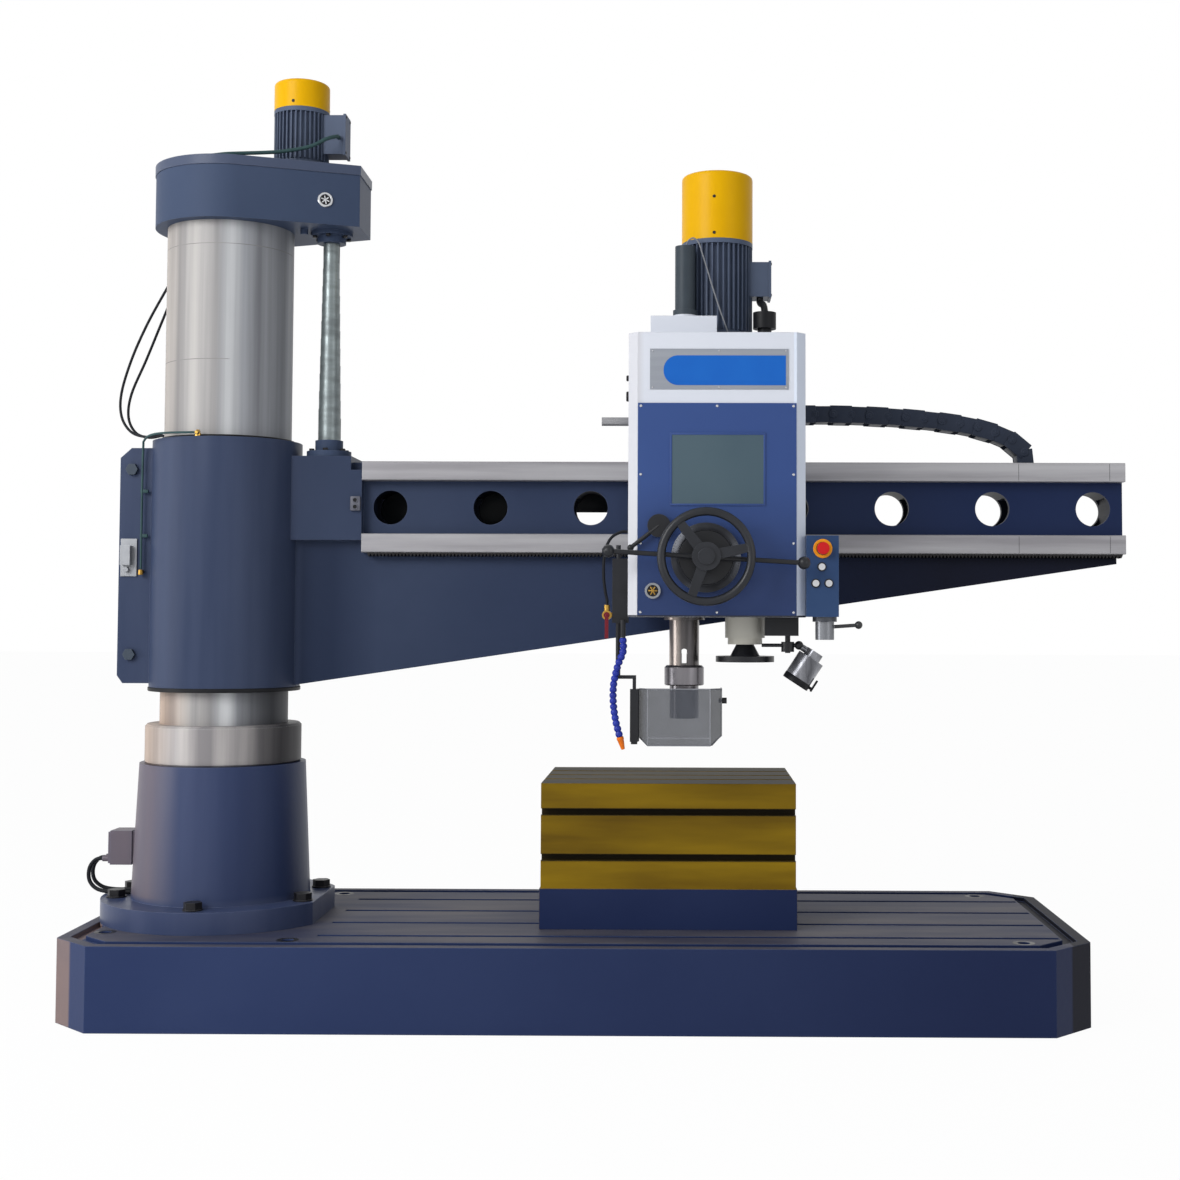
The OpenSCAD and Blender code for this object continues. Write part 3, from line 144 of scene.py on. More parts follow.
def whiteForViewer(tree, lit, white, amount, output):
    path = newNode(tree, "LightPath")
    seen = path.outputs["Is Camera Ray"]
    for ray in ("Is Glossy Ray", "Is Transmission Ray"):
        seen = mathNode(tree, "MAXIMUM", seen, path.outputs[ray])
    mix = newNode(tree, "MixShader", {0: mathNode(tree, "MULTIPLY", seen, amount), 1: lit, 2: white})
    feed(output.inputs, {"Surface": mix.outputs[0]})


def makeSky():
    world = bpy.data.worlds.new("studio")
    scene.world = world
    world.use_nodes = True
    tree = world.node_tree
    sky = tree.nodes["Background"]
    way = newNode(tree, "TexCoord").outputs["Generated"]
    tilt = mathNode(tree, "DOT_PRODUCT", way, studio["skySide"], "VectorMath")
    feed(sky.inputs, {"Color": studio["skyTone"], "Strength": mathNode(tree, "ADD", tilt, studio["sky"])})
    plain = newNode(tree, "Background", {"Color": (1, 1, 1, 1)})
    whiteForViewer(tree, sky.outputs[0], plain.outputs[0], 1.0, tree.nodes["World Output"])


def makeLamps():
    for name, place, aim, size, watts in studio["lamps"]:
        data = bpy.data.lights.new(name, "AREA")
        data.size = size
        data.energy = watts
        lamp = bpy.data.objects.new(name, data)
        lamp.location = place
        lamp.rotation_mode = "QUATERNION"
        lamp.rotation_quaternion = (Vector(aim) - Vector(place)).to_track_quat("-Z", "Y")
        scene.collection.objects.link(lamp)


def makeFloor():
    bm = bmesh.new()
    bmesh.ops.create_grid(bm, x_segments=1, y_segments=1, size=60)
    floorMesh = bpy.data.meshes.new("studioFloor")
    bm.to_mesh(floorMesh)
    bm.free()
    floor = bpy.data.objects.new("studioFloor", floorMesh)
    floor.location = (1.3, 0, -0.0005)
    scene.collection.objects.link(floor)
    material = bpy.data.materials.new("paleFloor")
    material.use_nodes = True
    tree = material.node_tree
    shader = tree.nodes["Principled BSDF"]
    feed(shader.inputs, {"Base Color": studio["floorTone"], "Roughness": 0.9})
    glow, output = newNode(tree, "Emission"), tree.nodes["Material Output"]
    whiteForViewer(tree, shader.outputs[0], glow.outputs[0], studio["floorWhite"], output)
    floorMesh.materials.append(material)


makeSky()
makeLamps()
makeFloor()
print("camera, lamps and floor made")


# Shared effects as node groups
def newGroup(name, inputs, outputs):
    group = bpy.data.node_groups.new(name, "ShaderNodeTree")
    for label, kind, value in inputs:
        socket = group.interface.new_socket(name=label, in_out="INPUT", socket_type="NodeSocket" + kind)
        socket.default_value = value
    for label, kind in outputs:
        group.interface.new_socket(name=label, in_out="OUTPUT", socket_type="NodeSocket" + kind)
    return group, group.nodes.new("NodeGroupInput").outputs, group.nodes.new("NodeGroupOutput").inputs


def stretchedNoise(tree, given, detail):
    place = newNode(tree, "TexCoord").outputs["Object"]
    way = mathNode(tree, "MULTIPLY", place, given["Stretch"], "VectorMath")
    noise = newNode(tree, "TexNoise", {"Detail": detail, "Vector": way, "Scale": given["Scale"]})
    return noise.outputs["Fac"]


def makeDrift():
    tree, given, out = newGroup(
        "toneDrift", [("Tone", "Color", (0.5, 0.5, 0.5, 1)), ("Drift", "Color", (0.4, 0.4, 0.4, 1)),
                      ("Scale", "Float", 3.0), ("Stretch", "Vector", (1, 1, 1)), ("Amount", "Float", 0.6)],
        [("Colour", "Color"), ("Mask", "Float")])
    noise = stretchedNoise(tree, given, 6)
    mask = newNode(tree, "MapRange", {"From Min": 0.34, "From Max": 0.66, "Value": noise}).outputs[0]
    share = mathNode(tree, "MULTIPLY", mask, given["Amount"])
    feed(out, {"Colour": mixNode(tree, share, given["Tone"], given["Drift"], "RGBA"), "Mask": mask})
    return tree


def makeGrain():
    tree, given, out = newGroup("surfaceGrain", [("Scale", "Float", 60.0), ("Stretch", "Vector", (1, 1, 1))],
                                [("Height", "Float")])
    feed(out, {"Height": stretchedNoise(tree, given, 3)})
    return tree


def makeZone():
    tree, given, out = newGroup(
        "zoneEdge", [("Along", "Vector", (0, 0, 1)), ("Past", "Float", 0.0), ("Soft", "Float", 0.001)],
        [("Mask", "Float")])
    place = newNode(tree, "TexCoord").outputs["Object"]
    reach = mathNode(tree, "DOT_PRODUCT", place, given["Along"], "VectorMath")
    beyond = mathNode(tree, "SUBTRACT", reach, given["Past"])
    feed(out, {"Mask": clamped(tree, mathNode(tree, "DIVIDE", beyond, given["Soft"]))})
    return tree


def makeEdge():
    tree, given, out = newGroup(
        "rubbedEdge", [("Width", "Float", 0.003), ("Break", "Float", 30.0), ("Amount", "Float", 0.6)],
        [("Normal", "Vector"), ("Mask", "Float")])
    bevel = newNode(tree, "Bevel", {"Radius": given["Width"]})
    bevel.samples = 4
    normal = newNode(tree, "NewGeometry").outputs["Normal"]
    level = mathNode(tree, "DOT_PRODUCT", bevel.outputs[0], normal, "VectorMath")
    turn = mathNode(tree, "MULTIPLY", mathNode(tree, "SUBTRACT", 1.0, level), 5.0)
    place = newNode(tree, "TexCoord").outputs["Object"]
    noise = newNode(tree, "TexNoise", {"Vector": place, "Scale": given["Break"]})
    worn = mathNode(tree, "MULTIPLY", mathNode(tree, "MULTIPLY", turn, noise.outputs["Fac"]), given["Amount"])
    feed(out, {"Mask": clamped(tree, worn), "Normal": bevel.outputs[0]})
    return tree


groups = {"drift": makeDrift(), "grain": makeGrain(), "zone": makeZone(), "edge": makeEdge()}


def useGroup(tree, key, **values):
    node = newNode(tree, "Group")
    node.node_tree = groups[key]
    feed(node.inputs, values)
    return node.outputs


# Finish: a drifting tone, zones with a tone of their own (some a second tone of the thing, some painted
# light or shade), rubbed edges (tone, width in mm) and a fine grain (scale, stretch, strength, depth in mm)
def finish(name, tone, drift, scale, rough, edge=None, grain=None, stretch=(1, 1, 1), amount=0.6, zones=(),
           **sheen):
    material = bpy.data.materials.new(name)
    looks[name] = material
    material.use_nodes = True
    tree = material.node_tree
    bsdf = tree.nodes["Principled BSDF"]
    feed(bsdf.inputs, {sheenLabels[key]: value for key, value in sheen.items()})
    base = useGroup(tree, "drift", Tone=shade(*tone), Drift=shade(*drift), Scale=scale, Stretch=stretch,
                    Amount=amount)
    colour = base["Colour"]
    gloss = mixNode(tree, base["Mask"], rough[0], rough[1])
    shine = None
    # each zone lays its tone over its mask; some zones are a second tone of the thing, some are painted light
    # or shade
    for area in zones:
        mask = None
        for along, past, soft in area["tests"]:
            part = useGroup(tree, "zone", Along=along, Past=past, Soft=soft)["Mask"]
            mask = part if mask is None else mathNode(tree, "MULTIPLY", mask, part)
        coat = useGroup(tree, "drift", Tone=shade(*area["tone"]), Drift=shade(*area["drift"]),
                        Scale=area.get("scale", scale), Stretch=area.get("stretch", stretch),
                        Amount=area.get("amount", amount))
        colour = mixNode(tree, mask, colour, coat["Colour"], "RGBA")
        gloss = mixNode(tree, mask, gloss, area.get("rough", 0.45))
        if "metal" in area:
            start = sheen.get("metal", 0.0) if shine is None else shine
            shine = mixNode(tree, mask, start, area["metal"])
    normal = None
    if edge:
        rubbed, width = edge
        rub = useGroup(tree, "edge", Width=width * 0.001, Amount=0.7)
        colour = mixNode(tree, rub["Mask"], colour, shade(*rubbed), "RGBA")
        normal = rub["Normal"]
    if grain:
        grainScale, grainStretch, strength, depth = grain
        height = useGroup(tree, "grain", Scale=grainScale, Stretch=grainStretch)["Height"]
        bump = newNode(tree, "Bump", {"Strength": strength, "Distance": depth * 0.001, "Height": height})
        if normal:
            feed(bump.inputs, {"Normal": normal})
        normal = bump.outputs[0]
    made = {"Base Color": colour, "Roughness": gloss, "Metallic": shine, "Normal": normal}
    feed(bsdf.inputs, {label: value for label, value in made.items() if value})


# Zones of a finish, and the sides of a plane that bound them
def zone(tests, tone, drift, **more):
    return {"tests": tests, "tone": tone, "drift": drift, **more}


def side(axis, sign):
    along = tuple(sign if i == axis else 0 for i in range(3))
    return lambda place, soft: (along, place * sign, soft)


right, left, behind, before, above, below = (side(axis, sign) for axis in range(3) for sign in (1, -1))


looks = {}
sheenLabels = {"metal": "Metallic", "specular": "Specular IOR Level", "alpha": "Alpha", "coat": "Coat Weight",
               "coatRough": "Coat Roughness"}
even = (1, 1, 1)
enamelGrain = (70, even, 0.06, 2)
castGrain = (38, even, 0.12, 4)
enamel = {"specular": 0.2, "coat": 0.05, "coatRough": 0.2}
dull = {"specular": 0.15}
finish("navyPaint", (58, 69, 91), (69, 80, 103), 1.6, (0.38, 0.5), ((110, 118, 138), 3), castGrain,
       specular=0.05)
finish("armPaintAndPaintedLight", (43, 53, 75), (54, 64, 87), 1.6, (0.36, 0.48), ((104, 112, 134), 3), castGrain,
       specular=0.1, zones=[
    # painted shade: darker towards the arm's right end
    zone([right(0.7, 2.1)], (22, 35, 68), (29, 42, 76), rough=0.42),
    # painted shadow: near black under the lower way towards the right end
    zone([below(1.583, 0.004), right(1.5, 1.1)], (8, 11, 26), (14, 18, 36), rough=0.5),
    # painted shade: darker on the rib under the pad, beside the sleeve
    zone([below(1.627, 0.02), right(0.25, 0.03), left(0.56, 0.16)], (28, 38, 60), (36, 46, 68), rough=0.44),
    # painted reflections: vertical streaks on the sleeve
    zone([left(0.29, 0.03)], (46, 56, 80), (64, 73, 96), scale=8.0, stretch=(1, 1, 0.06), amount=0.7,
         rough=0.38),
    # painted shade: dark inside the arm, behind its holes
    zone([right(0.52, 0.01), behind(-0.043, 0.003), before(0.128, 0.003), above(1.675, 0.003),
          below(1.819, 0.003)], (16, 20, 33), (24, 29, 44), scale=6.0, rough=0.5)])
finish("lidPaint", (60, 69, 90), (72, 81, 103), 1.6, (0.36, 0.46), ((124, 132, 152), 4), castGrain, **enamel)
finish("backPaintAndShade", (43, 53, 75), (54, 64, 87), 1.6, (0.36, 0.46), ((104, 112, 134), 1.5), castGrain,
       **enamel, zones=[
    # painted shade: the cover's inner face, seen through the arm's holes, is near black
    zone([before(0.1312, 0.0004)], (12, 16, 22), (18, 24, 32), rough=0.6)])
# Column foot: the vertical streaks of its drift are painted reflections
finish("footPaintAndPaintedLight", (50, 61, 92), (66, 75, 104), 7, (0.32, 0.44), ((108, 118, 146), 3), castGrain,
       stretch=(1, 1, 0.07), amount=0.7, **enamel, zones=[
    # painted shade: darker on the right side of the foot
    zone([right(-0.08, 0.22), above(0.36, 0.02)], (32, 45, 80), (44, 57, 90)),
    # painted highlight: lighter and browner on the left side of the foot
    zone([left(-0.07, 0.13), above(0.36, 0.02)], (88, 84, 97), (104, 94, 101))])
finish("boltPaint", (56, 65, 76), (70, 78, 88), 20, (0.4, 0.5), ((108, 116, 126), 1.5), **dull)
finish("basePaintAndPaintedShade", (33, 47, 84), (44, 57, 92), 1.4, (0.4, 0.55), ((88, 100, 132), 5), castGrain, **dull,
       zones=[
    # painted shade: darker towards the base's right end
    zone([right(0.2, 2.6)], (19, 31, 65), (27, 39, 73), rough=0.48),
    zone([left(-0.352, 0.01)], (122, 103, 98), (104, 92, 96), scale=3.0, rough=0.5),
    # painted shade: near black on the right end face
    zone([right(2.932, 0.008)], (5, 7, 22), (9, 12, 30), rough=0.6),
    zone([above(0.2792, 0.0004), left(2.945, 0.006)], (88, 86, 92), (50, 54, 76), scale=3.2,
         stretch=(0.5, 2.2, 1), amount=0.95, rough=0.6)])
finish("tableCoatAndPaintedLight", (128, 101, 10), (86, 64, 5), 3.4, (0.34, 0.48), ((142, 120, 50), 3),
       (50, (0.2, 1, 1), 0.08, 2), stretch=(0.35, 1, 3.0), amount=0.95, specular=0.12, zones=[
    zone([above(0.7792, 0.0004)], (62, 57, 45), (36, 32, 24), scale=4.0, stretch=(0.3, 2.5, 1), amount=0.9,
         rough=0.6),
    # painted shade: dark bands inside the two front T-slots
    zone([above(0.6685, 0.001), below(0.6955, 0.001)], (36, 28, 8), (24, 18, 6), rough=0.6),
    zone([above(0.5125, 0.001), below(0.5395, 0.001)], (36, 28, 8), (24, 18, 6), rough=0.6),
    # painted light: the low band is lightened against the shade near the base
    zone([below(0.512, 0.004)], (144, 115, 14), (104, 79, 8)),
    zone([below(0.4195, 0.0008)], (25, 37, 72), (34, 46, 82), scale=1.8, stretch=even, amount=0.6)])
# Column: the vertical streaks of its drift are painted reflections
finish("columnSteelAndPaintedLight", (168, 165, 162), (120, 119, 121), 17, (0.4, 0.54), grain=(26, (1, 1, 14), 0.03, 0.6),
       stretch=(1, 1, 0.02), amount=0.85, metal=0.1, specular=0.12, zones=[
    # painted highlight: lighter just right of the middle
    zone([right(0.01, 0.035)], (202, 203, 204), (160, 161, 163)),
    # painted shade: darker further right
    zone([right(0.07, 0.03)], (152, 154, 158), (104, 105, 110)),
    # painted light: warmer towards the left side
    zone([left(-0.1, 0.1)], (172, 165, 159), (124, 119, 116)),
    zone([above(2.6705, 0.0005), below(2.673, 0.0005)], (112, 110, 110), (140, 138, 136)),
    zone([above(2.2588, 0.0005), below(2.2612, 0.0005), left(0.062, 0.01)], (92, 90, 92), (140, 138, 136)),
    # painted light: warmer and lighter low on the left
    zone([below(1.1, 0.01), left(-0.06, 0.12)], (184, 163, 147), (140, 124, 114)),
    # painted shade: darker low on the right
    zone([below(1.1, 0.01), right(0.08, 0.12)], (76, 77, 81), (58, 59, 63))])
finish("ringSteelAndPaintedLight", (188, 183, 180), (120, 117, 119), 12, (0.36, 0.48), ((200, 198, 198), 3),
       (40, (1, 1, 12), 0.04, 0.6), stretch=(1, 1, 0.03), amount=0.9, metal=0.15, specular=0.15, zones=[
    # painted light: warmer on the left side
    zone([left(-0.1, 0.12)], (176, 158, 145), (116, 105, 99)),
    # painted shade: darker on the right side
    zone([right(0.1, 0.14)], (78, 77, 79), (54, 53, 56))])
finish("waySteel", (162, 161, 164), (124, 122, 126), 9, (0.34, 0.48), ((196, 196, 199), 3),
       (60, (0.05, 1, 3), 0.06, 0.6), stretch=(0.12, 1, 2.2), amount=0.85, metal=0.45)
finish("groundSteel", (150, 150, 153), (122, 122, 126), 14, (0.24, 0.36), ((200, 200, 203), 1.5),
       (80, (1, 1, 8), 0.03, 0.4), stretch=(1, 1, 0.4), amount=0.7, metal=0.6)
finish("quillSteelAndPaintedHighlight", (110, 106, 105), (66, 64, 66), 22, (0.2, 0.3), ((170, 168, 168), 1.5),
       (80, (1, 1, 8), 0.03, 0.4), stretch=(1, 1, 0.05), amount=0.9, metal=0.85, zones=[
    # painted highlight: a light strip down the quill's left side
    zone([left(1.654, 0.018)], (196, 182, 173), (140, 132, 128), rough=0.28)])
finish("toolSteel", (130, 127, 131), (92, 90, 95), 20, (0.2, 0.3), ((184, 182, 184), 1.5),
       (80, (1, 1, 8), 0.03, 0.4), stretch=(1, 1, 0.1), amount=0.8, metal=0.8)
# Dark oily steel whose darkness also paints shade: the shadow under the lower way on the rack, and the anchor
# holes' shade
finish("oiledSteelAndShade", (38, 37, 38), (26, 25, 26), 18, (0.3, 0.44), amount=0.8, metal=0.4, specular=0.2)
finish("greasedSteel", (112, 112, 108), (76, 74, 68), 18, (0.3, 0.5), amount=0.8, metal=0.6)
finish("chrome", (206, 207, 210), (178, 179, 184), 20, (0.12, 0.22), amount=0.5, metal=0.9)
finish("castAluminium", (148, 150, 154), (120, 122, 127), 22, (0.3, 0.42), ((196, 197, 200), 1.2),
       (160, even, 0.06, 0.5), amount=0.7, metal=0.6)
# Lamp barrel: the streaks of its drift are painted reflections
finish("lampMetalAndPaintedReflections", (146, 147, 153), (70, 71, 76), 30, (0.2, 0.32), ((206, 206, 210), 1.2),
       stretch=(1, 1, 0.02), amount=0.9, metal=0.6)
finish("bezelMetal", (66, 68, 74), (26, 27, 31), 6, (0.22, 0.34), ((160, 161, 166), 1), amount=0.95,
       metal=0.7)
finish("whitePaintAndPaintedLight", (211, 214, 222), (202, 206, 215), 1.3, (0.34, 0.44), ((226, 228, 233), 4), enamelGrain,
       **enamel, zones=[
    # painted shade: a little darker at the casing's left end
    zone([left(1.53, 0.02)], (200, 200, 205), (192, 193, 199), rough=0.4),
    # painted highlight: lighter and bluer on the right chamfer
    zone([right(2.022, 0.004)], (220, 227, 240), (212, 220, 233), rough=0.4),
    zone([below(1.3605, 0.0006)], (46, 47, 56), (58, 60, 70), rough=0.5)])
finish("creamPaint", (202, 199, 188), (184, 180, 168), 5, (0.36, 0.46), ((222, 220, 212), 1.5), enamelGrain,
       **enamel)
finish("panelBlueAndPaintedShade", (48, 71, 124), (56, 80, 133), 1.2, (0.36, 0.46), ((112, 130, 176), 1.2),
       (180, even, 0.04, 0.8), **enamel, zones=[
    # painted shade: darker towards the bottom of the panel
    zone([below(1.8, 0.36)], (36, 52, 92), (42, 60, 102), rough=0.4)])
finish("pendantBlue", (42, 64, 100), (52, 74, 110), 3, (0.4, 0.52), ((116, 130, 160), 2),
       (240, even, 0.05, 0.6), **dull, zones=[
    zone([below(1.3557, 0.0004)], (58, 60, 65), (84, 86, 92), rough=0.36, metal=0.5)])
finish("yellowPaint", (222, 169, 0), (206, 150, 0), 2.4, (0.3, 0.4), ((236, 194, 50), 2), enamelGrain,
       specular=0.1)
finish("motorPaint", (73, 83, 102), (87, 97, 118), 4, (0.4, 0.55), ((104, 112, 132), 1.5),
       (60, even, 0.14, 2), **dull)
finish("blackPaint", (22, 23, 27), (33, 35, 40), 6, (0.3, 0.42), ((84, 86, 94), 1.5), (120, even, 0.05, 0.8),
       specular=0.3)
finish("tubePaint", (52, 60, 67), (66, 74, 81), 8, (0.36, 0.48), ((104, 108, 114), 1.5), enamelGrain, **dull)
finish("wheelPlastic", (27, 29, 34), (40, 42, 48), 9, (0.3, 0.42), ((80, 83, 92), 1.5),
       (220, even, 0.08, 0.6), specular=0.3)
finish("blackOxide", (28, 28, 31), (44, 43, 45), 26, (0.34, 0.5), ((100, 100, 105), 1.2), metal=0.3,
       specular=0.25)
finish("blackPlastic", (18, 19, 22), (29, 30, 34), 14, (0.4, 0.52), ((60, 62, 68), 1),
       (260, even, 0.08, 0.5), **dull)
finish("chainPlastic", (34, 41, 55), (46, 53, 68), 9, (0.42, 0.55), ((84, 91, 106), 1.5),
       (120, even, 0.08, 0.6), **dull)
finish("cableRubber", (20, 22, 27), (27, 29, 34), 22, (0.46, 0.6), grain=(300, even, 0.06, 0.4), **dull)
finish("leadRubber", (44, 66, 68), (58, 84, 84), 22, (0.44, 0.56), grain=(300, even, 0.06, 0.4), **dull)
finish("leadGrey", (132, 134, 138), (112, 114, 118), 22, (0.4, 0.5), **dull)
finish("coverSteel", (126, 135, 136), (94, 101, 103), 12, (0.3, 0.44), stretch=(1, 1, 3), amount=0.8,
       metal=0.5)
finish("socketGrey", (98, 99, 108), (80, 82, 92), 30, (0.4, 0.5), ((132, 133, 142), 1.2), **dull)
finish("brass", (186, 148, 70), (150, 114, 48), 26, (0.24, 0.38), ((220, 190, 118), 0.8), amount=0.7,
       metal=0.8)
finish("plateMetal", (148, 152, 160), (130, 135, 144), 10, (0.32, 0.42), ((190, 193, 198), 0.8),
       (90, (0.1, 1, 3), 0.05, 0.3), stretch=(0.15, 1, 3), amount=0.7, metal=0.5)
finish("plateField", (13, 90, 178), (22, 102, 188), 5, (0.3, 0.4), ((104, 156, 210), 0.6), **enamel)
finish("screenGlass", (62, 81, 92), (76, 94, 103), 2, (0.16, 0.24), amount=0.8, **enamel)
finish("redPlastic", (200, 22, 26), (178, 14, 20), 20, (0.28, 0.38), ((232, 84, 80), 1.2), **enamel)
finish("valveRed", (112, 22, 36), (90, 16, 28), 20, (0.34, 0.44), ((176, 70, 74), 1.2), **enamel)
finish("yellowPlastic", (232, 150, 24), (216, 132, 14), 20, (0.34, 0.44), ((246, 194, 100), 0.8), **enamel)
finish("hoseBlue", (30, 44, 140), (40, 58, 160), 24, (0.34, 0.46), ((92, 110, 196), 0.8), **enamel)
finish("nozzleOrange", (230, 116, 24), (214, 100, 16), 24, (0.34, 0.46), ((246, 168, 96), 0.8), **enamel)
finish("clearSheet", (86, 89, 97), (72, 75, 82), 14, (0.16, 0.28), ((150, 152, 158), 2.5), amount=0.8,
       alpha=0.68, specular=0.3)
finish("sheetEdgeHighlight", (150, 151, 156), (118, 119, 125), 20, (0.2, 0.3), **enamel)
finish("darkGlass", (16, 17, 20), (28, 30, 33), 10, (0.08, 0.16), **enamel)
finish("scribedSteel", (42, 43, 47), (60, 61, 65), 30, (0.45, 0.6), **dull)
finish("joystickMetal", (128, 130, 135), (92, 94, 99), 20, (0.24, 0.36), ((180, 180, 184), 1),
       stretch=(1, 1, 0.05), amount=0.8, metal=0.6, zones=[
    zone([right(2.1592, 0.0006)], (20, 21, 24), (32, 33, 37), rough=0.36, metal=0.0)])
finish("bracketMetal", (24, 25, 29), (36, 37, 42), 12, (0.36, 0.48), ((84, 86, 92), 1.2), metal=0.0,
       specular=0.25, zones=[
    zone([left(1.4216, 0.0004)], (186, 148, 70), (150, 114, 48), rough=0.3, metal=0.8)])
print("finishes made:", len(looks))


# Mesh helpers
def addPart(bm, part, matrix=None):
    if matrix is not None:
        part.transform(matrix)
    bmesh.ops.remove_doubles(part, verts=part.verts, dist=1e-6)
    bmesh.ops.recalc_face_normals(part, faces=part.faces)
    mesh = bpy.data.meshes.new("part")
    part.to_mesh(mesh)
    part.free()
    bm.from_mesh(mesh)
    bpy.data.meshes.remove(mesh)


def facing(direction):
    return Vector((0, 0, 1)).rotation_difference(Vector(direction)).to_matrix().to_4x4()


def addTurned(bm, profile, place, direction=(0, 0, 1), steps=40):
    part = bmesh.new()
    verts = [part.verts.new((r * 0.001, 0, h * 0.001)) for r, h in profile]
    edges = [part.edges.new(pair) for pair in zip(verts, verts[1:])]
    bmesh.ops.spin(part, geom=verts + edges, cent=(0, 0, 0), axis=(0, 0, 1), angle=2 * math.pi, steps=steps,
                   use_merge=True)
    addPart(bm, part, at(*place) @ facing(direction))


def bevelEdges(part, edges, offset, segments=2):
    bmesh.ops.bevel(part, geom=edges, offset=offset * 0.001, affect="EDGES", segments=segments, profile=0.5,
                    material=-1)


def addBox(bm, low, high, bevel=1.0, turn=None):
    part = bmesh.new()
    bmesh.ops.create_cube(part, size=1)
    low, high = mm(*low), mm(*high)
    bmesh.ops.scale(part, vec=high - low, verts=part.verts)
    if bevel:
        bevelEdges(part, part.edges, bevel)
    centre = Matrix.Translation((low + high) / 2)
    addPart(bm, part, centre @ turn if turn else centre)


def addPlate(bm, outline, nearY, farY):
    part = bmesh.new()
    face = part.faces.new([part.verts.new(mm(x, nearY, z)) for x, z in outline])
    made = bmesh.ops.extrude_face_region(part, geom=[face])["geom"]
    verts = [g for g in made if isinstance(g, bmesh.types.BMVert)]
    bmesh.ops.translate(part, vec=mm(0, farY - nearY, 0), verts=verts)
    bevelEdges(part, part.edges, 0.8)
    addPart(bm, part)


def addHexHead(bm, place, direction, radius, height):
    part = bmesh.new()
    bmesh.ops.create_cone(part, cap_ends=True, segments=6, radius1=radius * 0.001, radius2=radius * 0.001,
                          depth=height * 0.001)
    bmesh.ops.translate(part, vec=(0, 0, height * 0.0005), verts=part.verts)
    bevelEdges(part, part.edges, 0.8)
    addPart(bm, part, at(*place) @ facing(direction))


def addSweep(bm, path, radii, sides=12):
    part = bmesh.new()
    ahead = [(path[min(i + 1, len(path) - 1)] - path[max(i - 1, 0)]).normalized() for i in range(len(path))]
    ring = bmesh.ops.create_circle(part, cap_ends=True, segments=sides, radius=1.0)["verts"]
    turn = Vector((0, 0, 1)).rotation_difference(ahead[0])
    rim = [turn @ v.co.copy() for v in ring]
    for v, way in zip(ring, rim):
        v.co = path[0] + way * radii[0]
    edges = [e for e in part.edges]
    for i in range(1, len(path)):
        turn = ahead[i - 1].rotation_difference(ahead[i])
        rim = [turn @ way for way in rim]
        made = bmesh.ops.extrude_edge_only(part, edges=edges)["geom"]
        ring = [g for g in made if isinstance(g, bmesh.types.BMVert)]
        edges = [g for g in made if isinstance(g, bmesh.types.BMEdge)]
        for v, way in zip(ring, rim):
            v.co = path[i] + way * radii[i]
    bmesh.ops.contextual_create(part, geom=edges)
    addPart(bm, part)


def finishPiece(name, bm, look, body=None, sharp=35):
    mesh = bpy.data.meshes.new(name)
    bm.to_mesh(mesh)
    bm.free()
    mesh.polygons.foreach_set("use_smooth", [True] * len(mesh.polygons))
    mesh.set_sharp_from_angle(angle=math.radians(sharp))
    mesh.materials.append(looks[look])
    piece = bpy.data.objects.new(name, mesh)
    scene.collection.objects.link(piece)
    if body:
        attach(piece, body)
    return piece


def turnedPiece(name, profile, places, direction, steps, look, body):
    bm = bmesh.new()
    for place in places:
        addTurned(bm, profile, place, direction, steps)
    return finishPiece(name, bm, look, body)


def smoothRoute(points, parts, start=(0, 0, 0)):
    p = [mm(*(a + b for a, b in zip(start, q))) for q in points]
    out = []
    for i in range(len(p) - 1):
        a, d = p[i], p[i + 1]
        b = a + (p[i + 1] - p[max(i - 1, 0)]) / 6
        c = d - (p[min(i + 2, len(p) - 1)] - p[i]) / 6
        for k in range(parts):
            t = k / parts
            out.append(a * (1 - t) ** 3 + b * 3 * (1 - t) ** 2 * t + c * 3 * (1 - t) * t * t + d * t ** 3)
    return out + [p[-1]]


def routeLength(path):
    return sum((b - a).length for a, b in zip(path, path[1:]))


